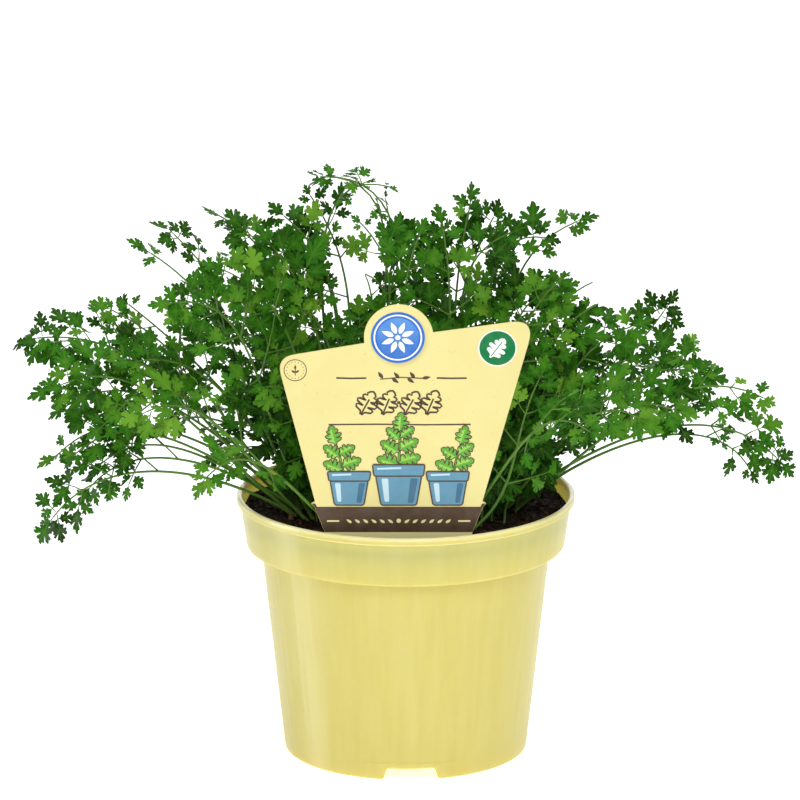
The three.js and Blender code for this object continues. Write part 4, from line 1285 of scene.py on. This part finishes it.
DISC_CENTRE = (-0.3, 74.0)
DISC_RADIUS = 9.4
BADGE_CENTRE = (34.4, 70.1)
BADGE_RADIUS = 6.5
SEAL_CENTRE = (-36.1, 61.9)
SEAL_RADIUS = 3.9
PICTURE_POTS = ((-17.4, 15.2, 12.6), (17.2, 15.2, 12.6), (0.0, 18.4, 15.2))
INK_WIDTH = 0.5
INK_GRAIN = (2200, 260)
INK_ROUGHNESS = (0.36, 0.46)
INK_SPECULAR = 0.15
INK_WEAR = 0.02
INKS = ("brown", "blue", "sky", "slate", "deep", "mist", "green", "lime", "emerald", "cream", "white")


def print_band(inks):
    """The brown band across the foot of the card, with pale dashes and beads, and a strip of painted light below it.
    """
    inks["brown"].shape([(-25.9, 1.4), (25.9, 1.4), (29.55, 10.9), (30.55, 12.2), (29.3, 12.2), (28.7, 10.95),
                         (-28.7, 10.95), (-29.3, 12.2), (-30.55, 12.2), (-29.55, 10.9)])
    # Painted light: a strip lighter than the card, where the pot's rim shades it.
    inks["cream"].shape([(-24.8, -4.0), (24.8, -4.0), (25.9, 1.4), (-25.9, 1.4)])
    for side in (-1, 1):
        inks["cream"].stroke([(side * 20.9, 5.6), (side * 25.2, 5.6)], 0.6, 2)
        for i in range(1, 7):
            heading = 35 if side > 0 else 145
            inks["cream"].shape(petal((side * (i * 2.9 - 0.9), 4.9), heading, 2.3, 1.0), 2)
    inks["cream"].shape(circle((0, 5.7), 0.8, 20), 2)


def print_disc(inks):
    """The round emblem: a blue disc with a pale ring and a rosette of leaves."""
    inks["blue"].shape(circle(DISC_CENTRE, DISC_RADIUS, 72))
    inks["white"].stroke(circle(DISC_CENTRE, DISC_RADIUS - 1.2, 72), 0.55, 2, closed=True)
    inks["sky"].shape(circle(DISC_CENTRE, DISC_RADIUS - 2.1, 64), 2)
    for i in range(8):
        heading = 22.5 + 45 * i
        inks["white"].shape(petal(beyond(DISC_CENTRE, heading, 1.5), heading, 4.6, 1.9), 3)
    inks["white"].shape(circle(DISC_CENTRE, 0.9, 20), 3)


def print_badge(inks):
    """The green roundel with a pale leaf."""
    inks["white"].shape(circle(BADGE_CENTRE, BADGE_RADIUS + 0.25, 56))
    inks["emerald"].shape(circle(BADGE_CENTRE, BADGE_RADIUS - 0.2, 56), 2)
    foot = (BADGE_CENTRE[0] - 2.6, BADGE_CENTRE[1] - 3.4)
    inks["white"].shape(lobed(foot, 53, 8.6), 3)
    inks["emerald"].stroke([(foot[0] + 0.4, foot[1] + 0.5), (foot[0] + 4.2, foot[1] + 5.6)], 0.3, 4)


def print_seal(inks):
    """The small ring on the left with a twig in it."""
    inks["brown"].stroke(circle(SEAL_CENTRE, SEAL_RADIUS, 48), 0.28, 1, closed=True)
    for i in range(16):
        inks["brown"].shape(circle(beyond(SEAL_CENTRE, 22.5 * i, 3.0), 0.16, 8))
    x, y = SEAL_CENTRE
    inks["brown"].stroke([(x, y - 1.9), (x, y + 0.9)], 0.28)
    for heading, height in ((30, -0.9), (150, -0.9), (90, 0.3)):
        inks["brown"].shape(petal((x, y + height), heading, 1.7, 0.75))


def print_rules(inks):
    """The ruled lines and the leaf ornaments between them."""
    for low, high in ((-21.8, -11.3), (13.3, 23.75)):
        inks["brown"].stroke([(low, 59.05), (lerp(low, high, 0.5), 58.9), (high, 59.0)], 0.62)
    inks["brown"].stroke([(-24.5, 41.7), (-8, 41.85), (9, 41.65), (25.2, 41.8)], 0.55)
    inks["brown"].stroke([(-6.5, 58.6), (1, 59.3), (8.6, 58.9)], 0.4)
    for x, heading in ((-5.5, 125), (-2.4, -35), (0.2, 130), (3.0, -35), (5.6, 125), (8.2, 10)):
        inks["brown"].shape(petal((x, 58.9), heading, 3.0, 1.3))
    for i, x in enumerate((-11.5, -3.9, 3.9, 11.5)):
        foot, heading = (x - 1.7, 45.6), 68 if i % 2 else 62
        inks["brown"].stroke(lobed(foot, heading, 9.4), 0.72, 1, closed=True)
        inks["brown"].stroke([foot, beyond(foot, heading, 6.2)], 0.6)
    for x in (-7.7, 0.0, 7.7):
        inks["brown"].shape(circle((x, 49.9), 0.6, 20))


def print_sprig(inks, foot, height, lean, leaves):
    """A drawn herb sprig: a stem with cut leaves, each green with a light half and a brown outline."""
    top = (foot[0] + lean, foot[1] + height)
    line = [(lerp(foot[0], top[0], t ** 1.4), lerp(foot[1], top[1], t)) for t in np.linspace(0, 1, 9)]
    inks["brown"].stroke(line, 1.05, 1)
    inks["green"].stroke(line, 0.5, 2)
    for share, heading, length in leaves:
        x, y = lerp(foot[0], top[0], share ** 1.4), lerp(foot[1], top[1], share)
        outline = lobed((x, y), heading, length)
        inks["green"].shape(outline, 3)
        inks["brown"].stroke(outline, 0.34, 4, closed=True)
        half = outline[: len(outline) // 2 + 1]
        inks["lime"].shape([(lerp(x, a, 0.8), lerp(y, b, 0.8)) for a, b in half], 4)


def print_picture_pot(inks, middle, width, height, low=11.6):
    """A drawn plant pot in watercolour blue with a brown outline and pale lights."""
    def box(shares, foot, share, radius):
        """A rounded box from its left, right, foot's left and foot's right as shares of the pot's width."""
        edges = [middle + width * across for across in shares]
        return rounded_box(*edges, low + foot, low + height * share, radius)

    band = width * 0.5
    inset = 0.5 - 0.5 / width
    body = box((-0.44, 0.44, -0.34, 0.34), 0.0, 0.74, 1.0)
    rim = box((-0.5, 0.5, -inset, inset), height * 0.72, 1.0, 0.8)
    for outline, layer in ((body, 5), (rim, 7)):
        inks["slate"].shape(outline, layer)
        inks["brown"].stroke(outline, INK_WIDTH, layer + 1, closed=True)
    inks["mist"].shape(box((-0.33, -0.2, -0.27, -0.18), 1.3, 0.66, 0.6), 6)
    inks["deep"].shape(box((0.22, 0.37, 0.17, 0.28), 0.9, 0.66, 0.7), 6)
    gleam = [(middle - band + 1.6, low + height * 0.9), (middle + band * 0.1, low + height * 0.92)]
    inks["mist"].stroke(gleam, 0.7, 8)


def print_picture(inks):
    """Three plant pots in a row with herb sprigs, the middle one in front."""
    sprigs = (
        (-2.0, 11.5, -2.6, [(0.2, 160, 7.2), (0.3, 22, 7.2), (0.62, 145, 6.8), (0.68, 30, 6.4), (1, 104, 7.4)]),
        (2.0, 11.5, 2.6, [(0.2, 158, 7.2), (0.3, 20, 7.2), (0.6, 150, 6.4), (0.68, 35, 6.8), (1, 76, 7.4)]),
        (0.0, 13.5, 0.6, [(0.12, 164, 8.0), (0.16, 18, 8.0), (0.46, 150, 7.6), (0.52, 30, 7.6), (0.82, 140, 6.2),
                          (0.86, 38, 6.2), (1, 88, 7.6)]),
    )
    for (middle, width, height), (shift, rise, lean, leaves) in zip(PICTURE_POTS, sprigs):
        print_sprig(inks, (middle + shift, 11.6 + height - 1.5), rise, lean, leaves)
        print_picture_pot(inks, middle, width, height)


def card_material(settings):
    """Printed plastic card: satin, pale yellow with fine flecks and a soft shadow round the disc."""
    material, tree, shader, _, blotches = surface("label_card", (2600, 90), (0.4, 0.5), (0.08, 0.03), 0.2)
    ground = mixed(tree, stepped(tree, blotches, 0.35, 0.65, 0, 0.5), tuple(settings.card), tuple(settings.card_deep))
    place = add_node(tree, "ShaderNodeTexCoord").outputs["Object"]
    speck = add_node(tree, "ShaderNodeTexNoise", {"Vector": place, "Scale": 900.0, "Detail": 1.0}).outputs["Fac"]
    flecked = mixed(tree, stepped(tree, speck, 0.70, 0.78, 0, 0.4), ground, tuple(settings.fleck))
    disc = tuple(float(c) * MM for c in on_label([(DISC_CENTRE[0] + 0.4, DISC_CENTRE[1] - 0.7, LABEL_THICKNESS)])[0])
    away = add_node(tree, "ShaderNodeVectorMath", {0: place, 1: disc}, operation="DISTANCE").outputs["Value"]
    shadow = stepped(tree, away, (DISC_RADIUS + 1.1) * MM, (DISC_RADIUS - 0.6) * MM, 0, 0.55)
    tree.links.new(mixed(tree, shadow, flecked, tuple(settings.card_shadow)), shader.inputs["Base Color"])
    return material


def disc_material(settings):
    """The disc's inner field: satin blue, lighter towards its top."""
    material, tree, shader, _, blotches = surface("ink_sky", INK_GRAIN, INK_ROUGHNESS, (0.05, 0.03), INK_SPECULAR)
    place = add_node(tree, "ShaderNodeTexCoord").outputs["Object"]
    height = add_node(tree, "ShaderNodeSeparateXYZ", {"Vector": place}).outputs["Z"]
    low, high = (float(on_label([(0, DISC_CENTRE[1] + rise, 0)])[0][2]) * MM for rise in (-6, 7))
    colour = mixed(tree, stepped(tree, height, low, high), tuple(settings.blue), tuple(settings.sky))
    worn = mixed(tree, stepped(tree, blotches, 0.35, 0.65, 0, 0.1), colour, tuple(settings.mist))
    tree.links.new(worn, shader.inputs["Base Color"])
    return material


def ink_material(settings, colour):
    """One printed ink, worn a little in places."""
    if colour == "sky":
        return disc_material(settings)
    base = tuple(getattr(settings, colour))
    worn = tuple(lerp(share, 1.0, INK_WEAR) for share in base)
    return finished(f"ink_{colour}", (base, worn), INK_ROUGHNESS, INK_GRAIN, specular=INK_SPECULAR)


# The stage

def aim(thing, target):
    """Turns a camera or light so that it looks at a target."""
    thing.rotation_euler = (Vector(target) - thing.location).to_track_quat("-Z", "Y").to_euler()


# Name, place, the point it faces, width and height, watts, and whether it is seen in shine alone.
LAMPS = (
    ("strip_left", (-1.5, -0.03, 0.3), (0, 0, 0.05), (0.6, 0.6), 24, True),
    ("softbox_front", (0.15, -1.7, 1.5), (0, 0, 0.1), (1.0, 1.0), 20, False),
    ("softbox_top", (0.1, 0.2, 1.8), (0, 0, 0.1), (1.2, 1.2), 14, False),
    ("strip_back", (0.0, 2.5, 0.76), (0, 0, 0.1), (2.0, 1.0), 14, True),
)


def hang_lamp(name, location, target, size, power, only_shine):
    light = bpy.data.lights.new(name, "AREA")
    light.shape, light.size, light.size_y, light.energy = "RECTANGLE", *size, power
    lamp = bpy.data.objects.new(name, light)
    lamp.location = location
    lamp.visible_diffuse = not only_shine
    aim(lamp, target)
    bpy.context.scene.collection.objects.link(lamp)


# Settings

def length_setting(name, description, default_mm):
    return bpy.props.FloatProperty(
        name=name, description=description, default=default_mm * MM, min=0.0, unit="LENGTH", subtype="DISTANCE",
        precision=5)


def count_setting(name, description, default, least=0):
    return bpy.props.IntProperty(name=name, description=description, default=default, min=least)


def colour_setting(name, description, *levels):
    return bpy.props.FloatVectorProperty(
        name=name, description=description, default=srgb(*levels), min=0.0, max=1.0, subtype="COLOR")


class PotSettings(bpy.types.PropertyGroup):
    colour: colour_setting("Colour", "The pale yellow of the pot's plastic", 212, 200, 118)
    deep_colour: colour_setting("Deep colour", "The yellow of the faint upright streaks", 209, 196, 110)
    # Painted light: the rim colour is a painted highlight on the crest and a painted lightening of the shaded wall
    # inside.
    painted_rim_light_colour: colour_setting("Rim colour", "The paler yellow of the thin rim", 244, 232, 178)
    flute_depth: length_setting("Flute depth", "How far the faint upright flutes stand out", 0.07)
    brushed: bpy.props.FloatProperty(
        name="Drawn highlights", description="How far the mould's fine rings draw highlights out upright",
        default=0.96, min=0.0, max=1.0, subtype="FACTOR")


class SoilSettings(bpy.types.PropertyGroup):
    dark: colour_setting("Dark", "The nearly black ground of the peat", 22, 16, 12)
    brown: colour_setting("Brown", "The brown of dry crumbs", 58, 39, 26)
    fibre: colour_setting("Fibre", "The tan of root and bark fibres", 122, 88, 56)
    crumbs: count_setting("Crumbs", "How many crumbs lie on the soil", 900)
    fibres: count_setting("Fibres", "How many fibres lie on the soil", 320)


class LeafSettings(bpy.types.PropertyGroup):
    dark: colour_setting("Dark", "The green of shaded, older leaflets", 3, 46, 6)
    middle: colour_setting("Middle", "The green of most leaflets", 48, 118, 22)
    light: colour_setting("Light", "The green of young leaflets and of veins", 124, 176, 54)
    underside: colour_setting("Underside", "The paler green of the undersides", 70, 128, 50)
    glow: colour_setting("Glow", "The yellow-green of light that shines through", 140, 196, 40)
    stalk: colour_setting("Stalk", "The light green of the stalks", 104, 146, 52)
    stalk_dark: colour_setting("Stalk shade", "The deeper green in the stalks", 48, 92, 26)
    stalk_foot: colour_setting("Stalk foot", "The pale green of the stalks' feet", 150, 172, 92)
    young: count_setting("Young leaves", "How many small leaves stand among the stalks on each side", 36, 1)
    templates: count_setting("Leaflet shapes", "How many leaflet outlines take turns", 8, 1)


class LabelSettings(bpy.types.PropertyGroup):
    card: colour_setting("Card", "The pale yellow ground of the label", 229, 218, 150)
    card_deep: colour_setting("Card deep", "The slightly deeper yellow in it", 227, 213, 140)
    card_shadow: colour_setting("Card shadow", "The soft shadow printed round the disc", 176, 168, 120)
    fleck: colour_setting("Fleck", "The tan flecks in the ground", 206, 178, 104)
    brown: colour_setting("Brown ink", "Band, rules and outlines", 84, 66, 50)
    blue: colour_setting("Blue ink", "The disc", 48, 108, 196)
    sky: colour_setting("Light blue ink", "The inner field of the disc", 84, 142, 214)
    slate: colour_setting("Slate ink", "The drawn pots", 98, 148, 172)
    deep: colour_setting("Deep slate ink", "The shaded side of the drawn pots", 66, 110, 138)
    mist: colour_setting("Mist ink", "The lights on the drawn pots", 190, 218, 228)
    green: colour_setting("Green ink", "The drawn leaves", 96, 168, 54)
    lime: colour_setting("Light green ink", "The light halves of the drawn leaves", 150, 204, 84)
    emerald: colour_setting("Emerald ink", "The roundel", 0, 118, 60)
    # Besides the beads, this ink paints the strip below the band as painted light.
    cream: colour_setting("Cream ink", "The beads on the band", 247, 236, 170)
    white: colour_setting("White ink", "Rings, rosette and leaf on the emblems", 246, 248, 246)


class StageSettings(bpy.types.PropertyGroup):
    floor: colour_setting("Floor", "The plain pale floor", 250, 250, 250)
    floor_glow: bpy.props.FloatProperty(
        name="Floor glow", description="How strongly the floor is lit from below, like a light table", default=0.6,
        min=0.0)
    surround: bpy.props.FloatProperty(
        name="Surround", description="Strength of the white light from all sides", default=0.38, min=0.0)
    distance: length_setting("Camera distance", "From the camera to the point that it looks at", 2500)
    elevation: bpy.props.FloatProperty(
        name="Camera elevation", description="How far the camera looks down",
        default=math.radians(15), subtype="ANGLE")
    aim: bpy.props.FloatVectorProperty(
        name="Camera aim", description="The point in the middle of the view", default=(-0.00205, 0.0, 0.1286),
        subtype="TRANSLATION", unit="LENGTH")
    focal: bpy.props.FloatProperty(
        name="Focal length", description="Lens of the camera on a 36 mm sensor, in millimetres", default=315.0,
        unit="CAMERA")


# Operators

class MouldPot(bpy.types.Operator):
    """Moulds the pot with its rim band, notches, drain holes and faint flutes"""
    bl_idname = "chervil.mould_pot"
    bl_label = "Mould the pot"
    bl_options = {"REGISTER", "UNDO"}

    def execute(self, context):
        settings = context.scene.chervil_pot
        parts = Parts()
        parts.add(*turned(pot_profile(), POT_SEGMENTS, moulded(settings.flute_depth / MM)))
        pot = parts.piece("pot_shell", [pot_material(settings)], "pot_plastic", ["pot"])
        notches = [notch_cutter(NOTCH_TURN - math.pi / 2 + i * TAU / NOTCH_COUNT) for i in range(NOTCH_COUNT)]
        holes = [drain_hole_cutter((i + 0.5) * TAU / DRAIN_HOLE_COUNT) for i in range(DRAIN_HOLE_COUNT)]
        cut_away(pot, [*notches, *holes])
        pot.data.set_sharp_from_angle(angle=math.radians(34))
        return {"FINISHED"}


class FillSoil(bpy.types.Operator):
    """Fills the pot with crumbled soil, with crumbs and fibres on it"""
    bl_idname = "chervil.fill_soil"
    bl_label = "Fill in the soil"
    bl_options = {"REGISTER", "UNDO"}

    def execute(self, context):
        settings = context.scene.chervil_soil
        body = Parts()
        body.add(*soil_body())
        body.piece("soil_bed", [soil_material(settings)], "soil", ["soil"])
        crumbs = soil_crumbs(settings.crumbs, settings.fibres)
        crumbs.piece("soil_litter", [crumb_material(settings)], "soil")
        return {"FINISHED"}


class GrowLeaves(bpy.types.Operator):
    """Grows each leaf along the line of its solid, with toothed leaflets in threes"""
    bl_idname = "chervil.grow_leaves"
    bl_label = "Grow the leaves"
    bl_options = {"REGISTER", "UNDO"}

    def execute(self, context):
        settings = context.scene.chervil_leaf
        materials = [leaf_material(settings), stalk_material(settings)]
        draws = np.random.default_rng(SEED)
        templates = [leaflet_template(draws) for _ in range(settings.templates)]
        for leaf in all_leaves():
            foliage = Foliage(templates, leaf["seed"])
            grow_leaf(foliage, leaf, fitted_nudge(leaf))
            foliage.piece(f"{leaf['name']}_fine", materials, [leaf["name"]])
        filling = Foliage(templates, SEED - 1)
        for leaf in filling_leaves():
            grow_leaf(filling, leaf, np.zeros(3))
        filling.piece("filling_leaves", materials)
        for name, side in (("left", -1), ("right", 1)):
            young = Foliage(templates, SEED + side)
            young_leaves(young, settings.young, side)
            young.piece(f"young_leaves_{name}", materials)
        return {"FINISHED"}


class PrintLabel(bpy.types.Operator):
    """Cuts the label card and prints its ornaments and picture on it"""
    bl_idname = "chervil.print_label"
    bl_label = "Print the label"
    bl_options = {"REGISTER", "UNDO"}

    def execute(self, context):
        settings = context.scene.chervil_label
        card = Parts()
        points, faces = prism(card_outline(), 0.0, LABEL_THICKNESS)
        card.add(on_label(points), faces)
        card.piece("label_blank", [card_material(settings)], "label_card", ["label"], sharp_degrees=40)
        inks = {colour: Print() for colour in INKS}
        for printed in (print_band, print_disc, print_badge, print_seal, print_rules, print_picture):
            printed(inks)
        for colour, ink in inks.items():
            ink.piece(f"label_ink_{colour}", ink_material(settings, colour))
        return {"FINISHED"}


class SetStage(bpy.types.Operator):
    """Lays the pale floor, hangs the soft lights and sets the camera"""
    bl_idname = "chervil.set_stage"
    bl_label = "Set the stage"
    bl_options = {"REGISTER", "UNDO"}

    def execute(self, context):
        settings = context.scene.chervil_stage
        scene = context.scene
        floor = bpy.data.meshes.new("floor")
        floor.from_pydata([(x, y, -0.00005) for x, y in circle((0, 0), 4.0, 64)], [], [tuple(range(64))])
        colour = tuple(settings.floor)
        paper = finished("floor_paper", (colour, tuple(c * 0.995 for c in colour)), (0.85, 0.95))
        glow = paper.node_tree.nodes["Principled BSDF"].inputs
        glow["Emission Color"].default_value = (1, 1, 1, 1)
        glow["Emission Strength"].default_value = settings.floor_glow
        floor.materials.append(paper)
        ground = bpy.data.objects.new("floor", floor)
        scene.collection.objects.link(ground)
        world = bpy.data.worlds.new("studio")
        world.use_nodes = True
        background = world.node_tree.nodes["Background"].inputs
        background["Color"].default_value = (1, 1, 1, 1)
        background["Strength"].default_value = settings.surround
        scene.world = world
        for lamp in LAMPS:
            hang_lamp(*lamp)
        target = Vector(settings.aim)
        scene.view_settings.view_transform = "Standard"
        camera = bpy.data.cameras.new("camera")
        camera.lens, camera.sensor_width = settings.focal, 36
        camera.clip_start, camera.clip_end = 0.1, 20
        holder = bpy.data.objects.new("camera", camera)
        back = Vector((0, -math.cos(settings.elevation), math.sin(settings.elevation)))
        holder.location = target + back * settings.distance
        aim(holder, target)
        scene.collection.objects.link(holder)
        scene.camera = holder
        return {"FINISHED"}


class ChervilPanel(bpy.types.Panel):
    """Lists the steps and settings of the potted chervil"""
    bl_idname = "VIEW3D_PT_chervil"
    bl_label = "Potted chervil"
    bl_space_type = "VIEW_3D"
    bl_region_type = "UI"
    bl_category = "Chervil"

    def draw(self, context):
        for name, _, operator in STEPS:
            box = self.layout.box()
            box.operator(operator.bl_idname)
            settings = getattr(context.scene, name)
            for key in settings.__annotations__:
                box.prop(settings, key)


# Where a step keeps its settings in the scene, what they are, and its operator.
STEPS = (
    ("chervil_stage", StageSettings, SetStage),
    ("chervil_pot", PotSettings, MouldPot),
    ("chervil_soil", SoilSettings, FillSoil),
    ("chervil_leaf", LeafSettings, GrowLeaves),
    ("chervil_label", LabelSettings, PrintLabel),
)
CLASSES = (*(made for _, *step in STEPS for made in step), ChervilPanel)


def register():
    for made in CLASSES:
        bpy.utils.register_class(made)
    for name, settings, _ in STEPS:
        setattr(bpy.types.Scene, name, bpy.props.PointerProperty(type=settings))


def unregister():
    for name, _, _ in STEPS:
        delattr(bpy.types.Scene, name)
    for made in reversed(CLASSES):
        bpy.utils.unregister_class(made)


def main():
    register()
    bpy.ops.chervil.set_stage()
    bpy.ops.chervil.mould_pot()
    bpy.ops.chervil.fill_soil()
    bpy.ops.chervil.grow_leaves()
    bpy.ops.chervil.print_label()


if __name__ == "__main__":
    main()
